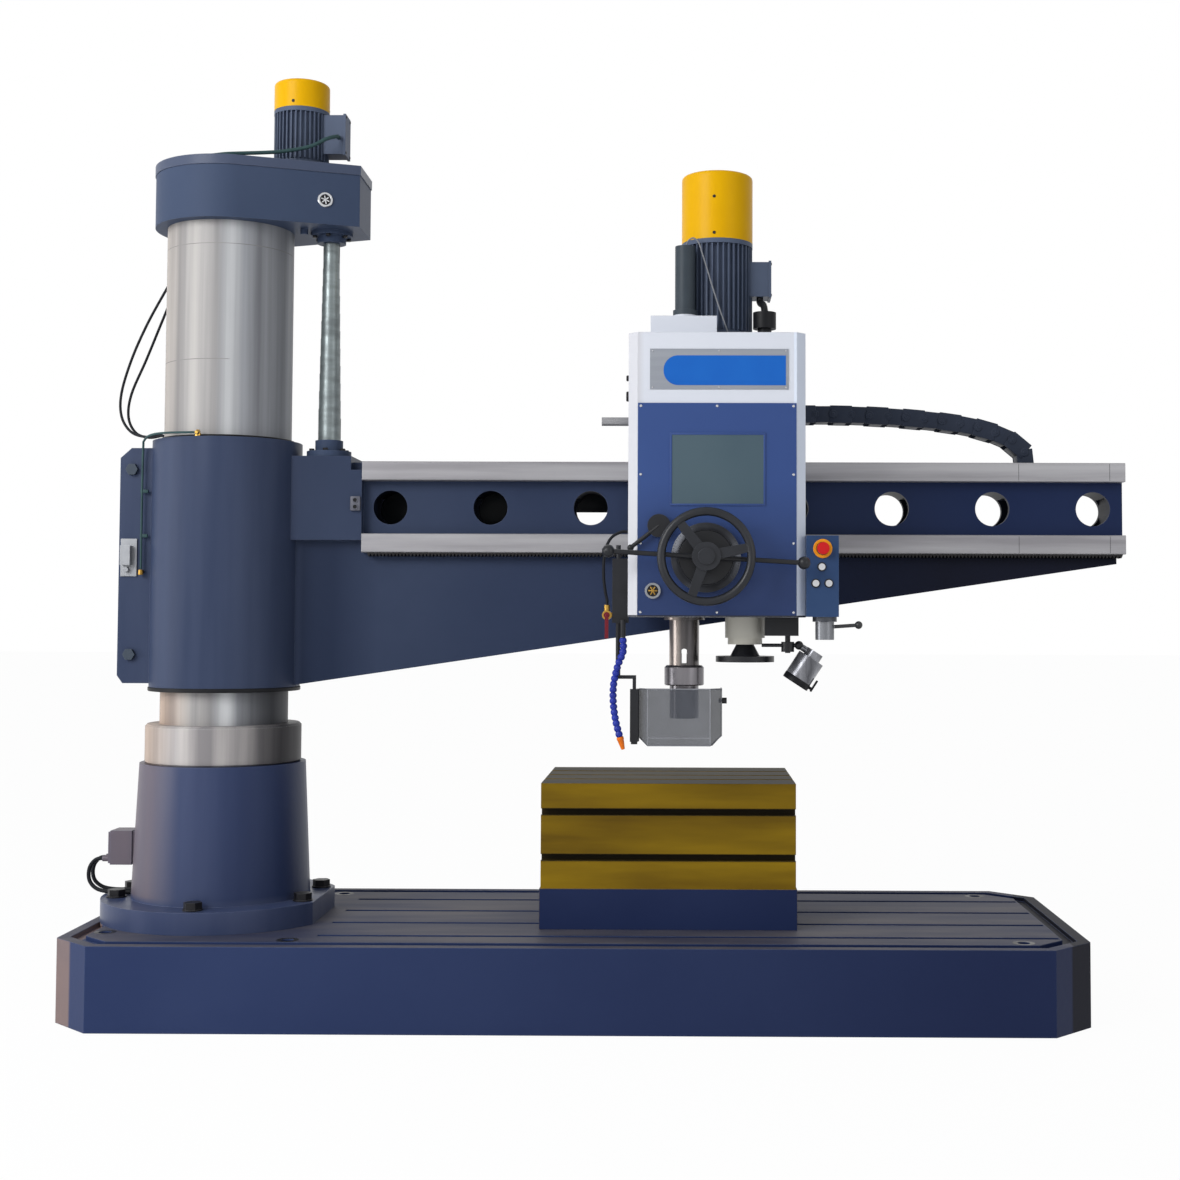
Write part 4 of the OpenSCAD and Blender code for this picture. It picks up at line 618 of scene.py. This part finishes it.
# Cables and hoses, on the routes of the solids
cords = {
    "foot": [(-424.3, -20, 482), (-448, -20, 478), (-468, -21, 456), (-474, -22, 425), (-466, -24, 396),
             (-440, -28, 374), (-400, -31, 365), (-350, -33, 363.5), (-311.6, -34, 363.5)],
    "column": [(-200, 150, 2755.4), (-200, 150, 2748), (-200, 150, 2738), (-245, 170, 2660),
               (-300, 180, 2570), (-365, 185, 2450), (-420, 185, 2320), (-455, 180, 2190), (-448, 165, 2100),
               (-405, 145, 2040), (-340, 112, 2018), (-280, 85, 2022), (-240, 69, 2008), (-236, 68, 1997),
               (-236, 68, 1982.6)],
    "supply": [(-0.4, -110, 286), (-27, -110, 286), (-62, -112, 264), (-81, -116, 216), (-85, -119, 146),
               (-79, -120, 86), (-73, -120, 58), (-73, -120, 40.4)],
    "lead": [(398, -42.4, 3100), (396, -72, 3096), (368, -112, 3076), (330, -128, 3050), (288, -138, 3034),
             (240, -148, 3023), (200, -156, 3015.5), (140, -172, 3008), (79, -190, 3001), (30, -201, 2996),
             (-10, -206, 2990), (-50, -203, 2987), (-100, -186, 2986), (-150, -140, 2988), (-178, -85, 2991),
             (-186, -45, 2993), (-186, -16.4, 2993)],
    "spindleLead": [(1668, -336, 2630), (1672, -339, 2652), (1691, -342, 2664), (1710, -344, 2648),
                    (1724, -344, 2606), (1742, -344, 2548), (1760, -344, 2488), (1780, -344, 2426),
                    (1798, -344, 2374), (1812, -344, 2334), (1820, -344, 2312), (1824, -344, 2296.4)],
    "hose": [(-205, -148, 0), (-204, -148, -45), (-222, -150, -95), (-235, -152, -155), (-236, -152, -215),
             (-228, -150, -275), (-214, -146, -330)], "hoseFrom": (1664, -330.3, 1284.7),
    "supplyFrom": (1477, -330.3, 1354), "footRadius": 7.0, "columnRadius": 5.0, "supplyRadius": 5.0,
    "leadRadius": 7.0, "thinRadius": 2.6, "beadRadius": 12.5, "neckRadius": 6.8,
}


def layCord(label, path, radius, look, body=None, sides=12):
    bm = bmesh.new()
    addSweep(bm, path, [radius * 0.001] * len(path), sides)
    return finishPiece(label, bm, look, body)


def makeFootCables():
    radius = cords["footRadius"]
    for label, side in (("footCableFront", 1), ("footCableRear", -1)):
        path = smoothRoute([(x, y * side, z) for x, y, z in cords["foot"]], 5)
        piece = layCord(label, path, radius, "cableRubber", "base", 14)
        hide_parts("foot_cables")


def makeColumnCables():
    radius = cords["columnRadius"]
    low, high = 1982, 2756
    for label, second in (("columnCableFront", 0), ("columnCableRear", 1)):
        points = []
        for x, y, z in cords["column"]:
            bulge = max(0, 0.94 - abs(2 * (z - low) / (high - low) - 1))
            points.append((x + second * (4 + 50 * bulge), y + second * 30, z))
        path = smoothRoute(points, 6)
        piece = layCord(label, path, radius, "cableRubber")
        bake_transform(piece)
        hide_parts("column_cables")


def makeCoolantHose():
    path = smoothRoute(cords["hose"], 24, cords["hoseFrom"])
    total = routeLength(path)
    neck, bead, beads = cords["neckRadius"], cords["beadRadius"], 18
    radii, gone = [], 0.0
    for i, point in enumerate(path):
        gone += (point - path[i - 1]).length if i else 0.0
        swell = abs(math.sin(math.pi * beads * gone / total))
        radii.append((neck + (bead - neck) * swell ** 0.5) * 0.001)
    bm = bmesh.new()
    addSweep(bm, path, radii, 18)
    hose = finishPiece("coolantHose", bm, "hoseBlue", "head", 60)
    down = (path[-1] - path[-6]).normalized()
    tip = [(0, 0), (10.5, 0), (12, 2), (12, 9), (10.8, 11), (9, 24), (6.4, 41), (5.6, 43), (4.2, 43), (4, 38),
           (0, 36)]
    nozzle = turnedPiece("coolantNozzle", tip, [path[-1] * 1000], down, 24, "nozzleOrange",
                         "head")
    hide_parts("coolant_hose")


def makeSupplyHose():
    radius = cords["supplyRadius"]
    path = smoothRoute(cords["supply"], 6, cords["supplyFrom"])
    hose = layCord("supplyHose", path, radius, "cableRubber", "head")
    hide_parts("coolant_hose")


def makeLeads():
    for label, route, size, look, body in (("motorLead", "lead", "leadRadius", "leadRubber", "column"),
                                           ("tubeLead", "spindleLead", "thinRadius", "leadGrey", "head")):
        path = smoothRoute(cords[route], 4)
        lead = layCord(label, path, cords[size], look, body)


makeFootCables()
makeColumnCables()
makeCoolantHose()
makeSupplyHose()
makeLeads()
print("cables and hoses made")

# Lubrication pipe along the sleeve's top edge and down its left side
pipe = {"route": [(-40, -268, 1994), (-150, -248, 1994), (-225, -190, 1992), (-270, -120, 1980),
                  (-282, -92, 1955), (-284, -90, 1800), (-284, -90, 1520)],
        "radius": 4.0, "clipX": (-290, -262), "clipY": (-92, -82), "clipZ": (1800, 1640),
        "topUnion": (-40, -252, 1982), "lowUnion": (-284, -90, 1500)}


def makeLubePipe():
    path = smoothRoute(pipe["route"], 6)
    bm = bmesh.new()
    addSweep(bm, path, [pipe["radius"] * 0.001] * len(path), 14)
    (x0, x1), (y0, y1) = pipe["clipX"], pipe["clipY"]
    for z in pipe["clipZ"]:
        addBox(bm, (x0, y0, z - 6), (x1, y1, z + 6), 1.5)
    tube = finishPiece("lubePipe", bm, "leadRubber", "arm")
    bm = bmesh.new()
    x, y, z = pipe["topUnion"]
    addHexHead(bm, (x, y, z), (0, 0, 1), 11, 12)
    addTurned(bm, [(0, 0), (8, 0), (8, 10), (5, 13), (0, 13)], (x, y, z + 10), steps=24)
    addTurned(bm, [(0, 0), (7.5, 0), (7.5, 16), (5.5, 20), (0, 20)], (x, y, z + 12), (0, -1, 0), 24)
    x, y, z = pipe["lowUnion"]
    addHexHead(bm, (x, y, z), (0, 0, 1), 9.5, 18)
    addTurned(bm, [(0, 0), (7, 0), (7, 20), (5, 24), (0, 24)], (x, y, z + 12), (0, 1, 0), 24)
    fittings = finishPiece("lubeFittings", bm, "brass", "arm")
    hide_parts("lube_pipe")
    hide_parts("lube_pipe")


makeLubePipe()

# Spiral cover of the lift screw: one steel band wound upwards
cover = {"axis": (368, 0), "low": 1992.3, "high": 2715.7, "radius": 41.0, "topRadius": 29.0, "band": 80.0,
         "turns": 10, "steps": 40, "sheet": 0.5}


def makeScrewCover():
    low, high, band, steps = (cover[key] for key in ("low", "high", "band", "steps"))
    count = cover["turns"] * steps
    lift = (high - low - band) / count * 0.001
    part = bmesh.new()
    ends = [part.verts.new((cover["radius"] * 0.001, 0, h * 0.001)) for h in (0, band)]
    bmesh.ops.spin(part, geom=ends + [part.edges.new(ends)], cent=(0, 0, 0), axis=(0, 0, 1),
                   angle=2 * math.pi * cover["turns"], steps=count, dvec=(0, 0, lift))
    part.verts.index_update()
    for i, v in enumerate(part.verts):
        step, upper = divmod(i, 2)
        radius = (cover["radius"] + (cover["topRadius"] - cover["radius"]) * (step / count)) * 0.001
        angle = 2 * math.pi * step / steps
        height = step * lift + upper * band * 0.001
        if not upper and step <= steps:
            height = 0
        elif upper and step >= count - steps:
            height = (high - low) * 0.001
        v.co = (radius * math.cos(angle), radius * math.sin(angle), height)
    bmesh.ops.recalc_face_normals(part, faces=part.faces)
    bmesh.ops.solidify(part, geom=part.faces, thickness=cover["sheet"] * 0.001)
    bm = bmesh.new()
    x, y = cover["axis"]
    addPart(bm, part, at(x, y, low))
    piece = finishPiece("spiralCover", bm, "coverSteel", "column")
    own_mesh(piece)
    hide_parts("screw_cover")


makeScrewCover()

# Energy chain: links along a lower run, a bend and an upper run, each run a piece of its own; the share
# of the head's way that each run would go is worked out but not used
chain = {"pitch": 66.0, "height": 64.0, "width": 90.0, "near": -11.0, "floor": 1815.0, "lowLinks": 16,
         "bendLinks": 3, "bendShare": 0.6, "farAway": 1e5,
         "turns": [48, 96, 140, 157, 164, 169, 172, 174, 175, 176, 177, 178, 179, 180, 180],
         "headEnd": 2065.6}


def chainJoints():
    headings = [0] * chain["lowLinks"] + chain["turns"]
    joints = [Vector((0, 0))]
    for heading in headings:
        a = math.radians(heading)
        joints.append(joints[-1] + Vector((math.cos(a), math.sin(a))) * chain["pitch"])
    shift = chain["headEnd"] - joints[-1].x
    return headings, [Vector((j.x + shift, j.y + chain["floor"] + chain["height"] / 2)) for j in joints]


def addChainLink(bm, joint, heading, wide):
    h = chain["height"] - (0 if wide else 5)
    side = 0 if wide else 3
    y0, y1 = chain["near"] + side, chain["near"] + chain["width"] - side
    length = chain["pitch"]
    link = bmesh.new()
    for y in (y0, y1 - 7):
        addBox(link, (-8, y, -h / 2), (length + 6, y + 7, h / 2), 2.0)
    for z in (-h / 2 + 1, h / 2 - 9):
        addBox(link, (10, y0 + 3, z), (length - 12, y1 - 3, z + 8), 1.5)
    for y, out in ((y0, -1), (y1, 1)):
        addTurned(link, [(0, 4), (13, 4), (15, 2.5), (15, -3), (0, -3)], (length - 6, y, 0), (0, out, 0), 18)
        addTurned(link, [(0, 6), (5.4, 6), (6.2, 5), (6.2, 3), (0, 3)], (length - 6, y, 0), (0, out, 0), 12)
    matrix = at(joint.x, 0, joint.y) @ Matrix.Rotation(-math.radians(heading), 4, "Y")
    addPart(bm, link, matrix)


def makeChain():
    headings, joints = chainJoints()
    bend, after = chain["lowLinks"], chain["lowLinks"] + chain["bendLinks"]
    armEnd, headEnd = joints[0].x, joints[-1].x
    bendX, afterX = joints[bend].x, joints[after].x
    share, far = chain["bendShare"], chain["farAway"]
    runs = {"chainLower": (0, bend, armEnd, armEnd + (bendX - armEnd) / share),
            "chainBend": (bend, after, bendX - far * share, bendX + far * (1 - share)),
            "chainUpper": (after, len(headings), (afterX - share * headEnd) / (1 - share), headEnd)}
    for label, (first, last, start, end) in runs.items():
        bm = bmesh.new()
        for i in range(first, last):
            addChainLink(bm, joints[i], headings[i], i % 2 == 0)
        piece = finishPiece(label, bm, "chainPlastic")
        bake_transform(piece)
        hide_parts("energy_chain")


makeChain()
print("pipe, spiral cover and chain made")

# Front of the drill head: plate, screen frame, screws, dial scale, side knobs, collar of the stop button
front = {"panelY": -584.3, "caseY": -580.3, "panel": (1509, 2032, 1360, 2060),
         "plate": (1548, 2006, 2105, 2240), "field": (1593, 1997, 2119, 2218),
         "screen": (1622, 1923, 1727, 1954), "hub": (1734, 1549), "sideX": 1477, "sideKnobY": -450,
         "sideKnobZ": (2160, 2098), "stop": (2117, 1580), "stopY": -593.3, "pendantY": -590.3,
         "buttons": [(2114, 1520), (2094, 1466), (2137, 1466)]}


toFront = (0, -1, 0)


def addScrew(bm, place, direction=toFront, radius=4.5):
    profile = [(0, 0.9), (0.34, 0.9), (0.4, 2.4), (0.75, 2.2), (1, 1.0), (1, -1), (0, -1)]
    addTurned(bm, [(r * radius, h) for r, h in profile], place, direction, 16)


def makePanel():
    y, inset = front["panelY"], 10
    bm = bmesh.new()
    x0, x1, z0, z1 = front["panel"]
    for x in (x0 + inset, x1 - inset):
        for k in range(4):
            addScrew(bm, (x, y, z0 + inset + (z1 - z0 - 2 * inset) * k / 3))
    for z in (z0 + inset, z1 - inset):
        addScrew(bm, ((x0 + x1) / 2, y, z))
    x0, x1, z0, z1 = front["plate"]
    for x in (x0 + 9, (x0 + x1) / 2, x1 - 9):
        for z in (z0 + 7, z1 - 7):
            addScrew(bm, (x, front["caseY"] - 2, z), toFront, 3.2)
    finishPiece("panelScrews", bm, "chrome", "head")

    part = bmesh.new()
    bmesh.ops.create_cube(part, size=1)
    x0, x1, z0, z1 = front["field"]
    bmesh.ops.scale(part, vec=mm(x1 - x0, 1.2, z1 - z0), verts=part.verts)
    corners = [e for e in part.edges
               if all(v.co.x < 0 for v in e.verts) and abs(e.verts[0].co.y - e.verts[1].co.y) > 1e-5]
    bevelEdges(part, corners, (z1 - z0) * 0.49, 14)
    bm = bmesh.new()
    addPart(bm, part, at((x0 + x1) / 2, front["caseY"] - 2.2, (z0 + z1) / 2))
    finishPiece("plateField", bm, "plateField", "head")

    bm = bmesh.new()
    x0, x1, z0, z1 = front["screen"]
    rim = 7
    for a, b in (((x0 - rim, z0 - rim), (x1 + rim, z0)), ((x0 - rim, z1), (x1 + rim, z1 + rim)),
                 ((x0 - rim, z0), (x0, z1)), ((x1, z0), (x1 + rim, z1))):
        addBox(bm, (a[0], y - 3.4, a[1]), (b[0], y + 0.5, b[1]), 0.8)
    finishPiece("screenFrame", bm, "panelBlueAndPaintedShade", "head")


def makeDial():
    y, (x, z) = front["panelY"], front["hub"]
    ring = [(88.6, 20), (88.6, 31), (90, 32), (93, 31.6), (111, 24), (114.6, 22.5), (114.6, 20), (88.6, 20)]
    turnedPiece("dialRing", ring, [(x, y, z)], toFront, 96, "bezelMetal", "head")
    bm = bmesh.new()
    ticks, tickEnd = 72, 112
    for k in range(ticks):
        a = 2 * math.pi * k / ticks
        long = 8 if k % 6 == 0 else 4.5
        spot = Vector((math.cos(a), 0, math.sin(a))) * (tickEnd - long / 2)
        turn = at(x + spot.x, y - 25.4, z + spot.z) @ Matrix.Rotation(-a, 4, "Y")
        addBox(bm, (-long / 2, -0.4, -0.45), (long / 2, 0.4, 0.45), 0, turn)
    finishPiece("dialTicks", bm, "scribedSteel", "head")


def makeKnobs():
    bm = bmesh.new()
    for z, r in zip(front["sideKnobZ"], (10, 17)):
        addTurned(bm, [(0, 11), (r - 2, 11), (r, 9), (r, -1), (0, -1)],
                  (front["sideX"], front["sideKnobY"], z), (-1, 0, 0), 28)
    finishPiece("sideKnobs", bm, "blackOxide", "head")
    rim = [(11.4, 0), (11.4, 2), (12, 2.6), (14.2, 2.6), (15, 1.8), (15, -2), (11.4, -2), (11.4, 0)]
    places = [(x, front["pendantY"], z) for x, z in front["buttons"]]
    turnedPiece("buttonRims", rim, places, toFront, 32, "blackOxide", "head")
    x, z = front["stop"]
    collar = [(21, 0), (21, 2), (22, 3), (29.6, 3), (31.4, 1.4), (31.4, -3), (21, -3), (21, 0)]
    turnedPiece("stopCollar", collar, [(x, front["stopY"], z)], toFront, 48, "yellowPlastic",
                "head")


makePanel()
makeDial()
makeKnobs()

# Round sight glasses: the head's sits in its ring, and the cap's brings a ring of its own
sights = {"head": {"place": (1560, -588.3, 1440), "out": (0, -1, 0), "star": "brass", "ring": False},
          "column": {"place": (374, -149.2, 2844), "out": (0.3416, -0.9398, 0), "star": "chrome",
                     "ring": True}}


def makeSights():
    glass = [(0, 0.9), (18.6, 0.9), (18.6, -1), (0, -1)]
    ring = [(18.4, 0), (18.4, 4), (20, 6), (25, 6), (27, 4), (27, -3), (18.4, -3), (18.4, 0)]
    for body, sight in sights.items():
        place, out = sight["place"], sight["out"]
        turnedPiece(body + "SightGlass", glass, [place], out, 40, "darkGlass", body)
        bm = bmesh.new()
        turn = at(*place) @ facing(out)
        for k in range(3):
            bar = bmesh.new()
            addBox(bar, (-15, -2, 0.4), (15, 2, 1.9), 0.5)
            addPart(bm, bar, turn @ Matrix.Rotation(math.pi * k / 3, 4, "Z"))
        addTurned(bm, [(0, 3), (4, 3), (5, 2), (5, 0), (0, 0)], place, out, 16)
        finishPiece(body + "SightStar", bm, sight["star"], body)
        if sight["ring"]:
            turnedPiece(body + "SightRing", ring, [place], out, 48, "chrome", body)


makeSights()

# Lamp: black lens end and the clip beside it, along the leaning barrel
lamp = {"ball": (2052, -400.3, 1260), "lean": 33.0, "back": (-58, 14), "radius": 47.0, "length": 100.0}


def makeLampTrim():
    turn = at(*lamp["ball"]) @ Matrix.Rotation(math.radians(180 + lamp["lean"]), 4, "Y")
    turn = turn @ at(lamp["back"][0], 0, lamp["back"][1])
    r, end = lamp["radius"], lamp["length"]
    local = bmesh.new()
    addTurned(local, [(0, end - 11.4), (r - 7.6, end - 11.4), (r - 7.4, end + 0.4), (r - 6, end + 1.4),
                      (r - 1, end + 1.4), (r + 0.9, end - 0.5), (r + 0.9, end - 19), (r + 0.2, end - 20)],
              (0, 0, 0), steps=56)
    addBox(local, (-r - 10, -7, end - 18), (-r + 2, 7, end - 8), 1.5)
    addBox(local, (-r - 15, -12, end - 48), (-r - 9, 12, end - 4), 2)
    bm = bmesh.new()
    addPart(bm, local, turn)
    finishPiece("lampTrim", bm, "blackPlastic", "lamp_tip")


makeLampTrim()

# Bolts and screws: flanges of the lift screw, terminal boxes and fan covers
bolts = {"screwAxis": (368, 0), "nutTop": 1952, "nutRing": 65, "capUnder": 2742, "capRing": 64,
         "boxes": [("head", 1966, -205.3, 40, (2484, 2594)), ("column", 423, 0, 36, (3046, 3178))],
         "covers": [("head", (1777, -205.3), 125, 2687), ("head", (1777, -205.3), 125, 2814),
                    ("column", (253, 0), 100, 3220)], "wayY": -95, "waySeams": (2859, 3184),
         "ways": ((1583, 1651), (1842, 1910))}


def makeBolts():
    bunches = {body: bmesh.new() for body in ("head", "column", "arm")}
    x, y = bolts["screwAxis"]
    rings = [("arm", bolts["nutRing"], bolts["nutTop"], 1, 10),
             ("column", bolts["capRing"], bolts["capUnder"], -1, 9)]
    for k in range(6):
        a = math.radians(60 * k + 30)
        for body, r, z, way, size in rings:
            addHexHead(bunches[body], (x + r * math.cos(a), y + r * math.sin(a), z), (0, 0, way), size, 9)
    for body, face, middle, half, heights in bolts["boxes"]:
        for z in heights:
            for side in (-half, half):
                addScrew(bunches[body], (face, middle + side, z), (1, 0, 0), 5)
    for body, (cx, cy), r, z in bolts["covers"]:
        for k in range(3):
            a = math.radians(-96 + 120 * k)
            out = (math.cos(a), math.sin(a), 0)
            addScrew(bunches[body], (cx + r * out[0], cy + r * out[1], z), out, 5.5)
    for body, bm in bunches.items():
        finishPiece(body + "Bolts", bm, "blackOxide", body)
    bm = bmesh.new()
    y = bolts["wayY"]
    for low, high in bolts["ways"]:
        for seam in bolts["waySeams"]:
            addBox(bm, (seam - 0.7, y - 0.25, low + 4), (seam + 0.7, y + 0.5, high - 4), 0)
    finishPiece("waySeams", bm, "scribedSteel", "arm")


makeBolts()

# Wipers at the sleeve's ends, a plug on the arm and spot faces round the base's anchor holes
trim = {"wipers": [(1086, 14, 227, 268), (1982, 9, 227, 239)], "plugLow": (466, -99, 1732),
        "plugHigh": (502, -84, 1784), "socketZ": (1746, 1770), "anchorR": 21.3, "faceR": 37.0, "deck": 280.0,
        "anchors": [(2790, 475), (350, 475), (-300, 350)]}


def makeTrim():
    bm = bmesh.new()
    for low, high, r0, r1 in trim["wipers"]:
        addTurned(bm, [(r0, 0), (r0, high), (r1 - 2, high), (r1, high - 2), (r1, 2), (r1 - 2, 0), (r0, 0)],
                  (0, 0, low), steps=96)
    finishPiece("sleeveWipers", bm, "blackPlastic", "arm")
    low, high = trim["plugLow"], trim["plugHigh"]
    sockets = [((low[0] + high[0]) / 2, low[1], z) for z in trim["socketZ"]]
    bm = bmesh.new()
    addBox(bm, low, high, 3)
    for place in sockets:
        addTurned(bm, [(7.4, 3), (10, 3), (10, -1), (7.4, -1), (7.4, 3)], place, toFront, 24)
    finishPiece("armPlug", bm, "socketGrey", "arm")
    turnedPiece("armPlugSockets", [(0, 1.2), (7.2, 1.2), (7.2, -1), (0, -1)], sockets, toFront, 24,
                "blackPlastic", "arm")
    # the spot faces' dark rings are oily steel and also paint the shade of the anchor holes
    r0, r1 = trim["anchorR"], trim["faceR"]
    places = [(x, side, trim["deck"]) for x, y in trim["anchors"] for side in (-y, y)]
    turnedPiece("anchorFacesAndShade", [(r0, -1), (r0, 0.3), (r1, 0.3), (r1, -1), (r0, -1)], places, (0, 0, 1), 40,
                "oiledSteelAndShade", "base")


# Folds and cut edges of the guard's sheet, along the middle of its thickness, pale as a painted highlight
guard = {"axis": (1497, -450.3),
         "fold": [(18, 44), (18, 18.8), (44.8, -10), (254.2, -10), (293, 28.8), (293, 110)],
         "cuts": (25, 32), "edge": 2.3, "seam": 24, "front": -12}


def makeGuardEdges():
    low, high = (corner[2] * 1000 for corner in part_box("guard_panes"))
    x, y = guard["axis"]
    fold = [(x + a, y + b) for a, b in guard["fold"]]
    left, right = guard["cuts"]
    top = [(a, b, high) for a, b in fold]
    foot = [fold[1] + (low + left,), fold[2] + (low,), fold[3] + (low,), fold[4] + (low + right,)]
    bm = bmesh.new()
    for route in (top, foot):
        addSweep(bm, [mm(*p) for p in route], [guard["edge"] * 0.001] * len(route), 10)
    face, seam = y + guard["front"], low + guard["seam"]
    for a, b in fold[2:4]:
        addBox(bm, (a - 1.6, face - 0.5, low + 2), (a + 1.6, face + 1.5, high - 1), 0.4)
    addBox(bm, (fold[2][0], face - 0.5, seam), (fold[3][0], face + 1, seam + 2.4), 0.4)
    finishPiece("guardEdges", bm, "sheetEdgeHighlight", "guard")


makeTrim()
makeGuardEdges()

# Covers at the back: over the arm's first holes, and over the open back of the drill head above the saddle
covers = {
    "arm": {"outline": [(515, 1672), (1180, 1672), (1180, 1742), (1400, 1742), (1400, 1834), (515, 1834)],
            "nearY": 130.0, "farY": 134.0, "look": "backPaintAndShade", "slot": "navy_paint",
            "screws": [(530, 1688), (850, 1688), (1164, 1688), (1384, 1758), (1384, 1818), (957, 1818),
                       (530, 1818)]},
    "head": {"outline": [(1485, 2000.5), (2043.5, 2000.5), (2043.5, 2161), (2056, 2161), (2056, 2288),
                         (1920.5, 2288), (1920.5, 2145.5), (1633.5, 2145.5), (1633.5, 2288), (1485, 2288)],
             "nearY": -130.3, "farY": -127.3, "look": "whitePaintAndPaintedLight", "slot": "white_paint",
             "screws": [(1494, 2014), (1777, 2014), (2032, 2014), (1494, 2140), (2046, 2176), (1494, 2276),
                        (1624, 2276), (1930, 2276), (2046, 2276)]},
}


def makeCovers():
    for body, plate in covers.items():
        bm = bmesh.new()
        addPlate(bm, plate["outline"], plate["nearY"], plate["farY"])
        for x, z in plate["screws"]:
            addScrew(bm, (x, plate["farY"], z), (0, 1, 0))
        finishPiece(body + "BackCover", bm, plate["look"], body)


makeCovers()
print("sights, lamp trim, bolts, seams, wipers and back covers made")


# Finishes of the solids that show
coats = {
    "navyPaint": "cap_housing lift_nut", "lidPaint": "cap_lid", "armPaintAndPaintedLight": "arm_casting",
    "footPaintAndPaintedLight": "column_foot junction_box", "oiledSteelAndShade": "traverse_rack", "basePaintAndPaintedShade": "base_plate",
    "tableCoatAndPaintedLight": "box_table", "columnSteelAndPaintedLight": "column_tube", "ringSteelAndPaintedLight": "clamp_ring",
    "toolSteel": "tool_adapter", "waySteel": "guide_ways",
    "groundSteel": "inner_column column_bearings side_pin", "quillSteelAndPaintedHighlight": "quill spindle",
    "greasedSteel": "lift_screw lift_pinion", "chrome": "start_button left_button right_button",
    "castAluminium": "limit_switch oil_sight_glass", "lampMetalAndPaintedReflections": "lamp_head",
    "whitePaintAndPaintedLight": "head_casing head_saddle", "creamPaint": "feed_unit", "panelBlueAndPaintedShade": "front_panel",
    "pendantBlue": "pendant_box", "yellowPaint": "lift_fan_cover main_fan_cover",
    "motorPaint": "lift_motor main_motor",
    "blackPaint": "feed_dial lamp_bracket feed_hub microfeed_wheel selector_lever lamp_arm guard_frame",
    "tubePaint": "spindle_tube", "wheelPlastic": "traverse_handwheel", "blackOxide": "foot_bolts",
    "boltPaint": "clamp_bolts", "blackPlastic": "breather_cap", "plateMetal": "name_plate",
    "screenGlass": "screen", "redPlastic": "estop_button", "valveRed": "valve_handle",
    "clearSheet": "guard_panes", "joystickMetal": "joystick", "bracketMetal": "hose_bracket",
}
for look, names in coats.items():
    for name in names.split():
        cadNodes[name].data.materials.clear()
        cadNodes[name].data.materials.append(looks[look])
print("solids coated:", sum(len(names.split()) for names in coats.values()))
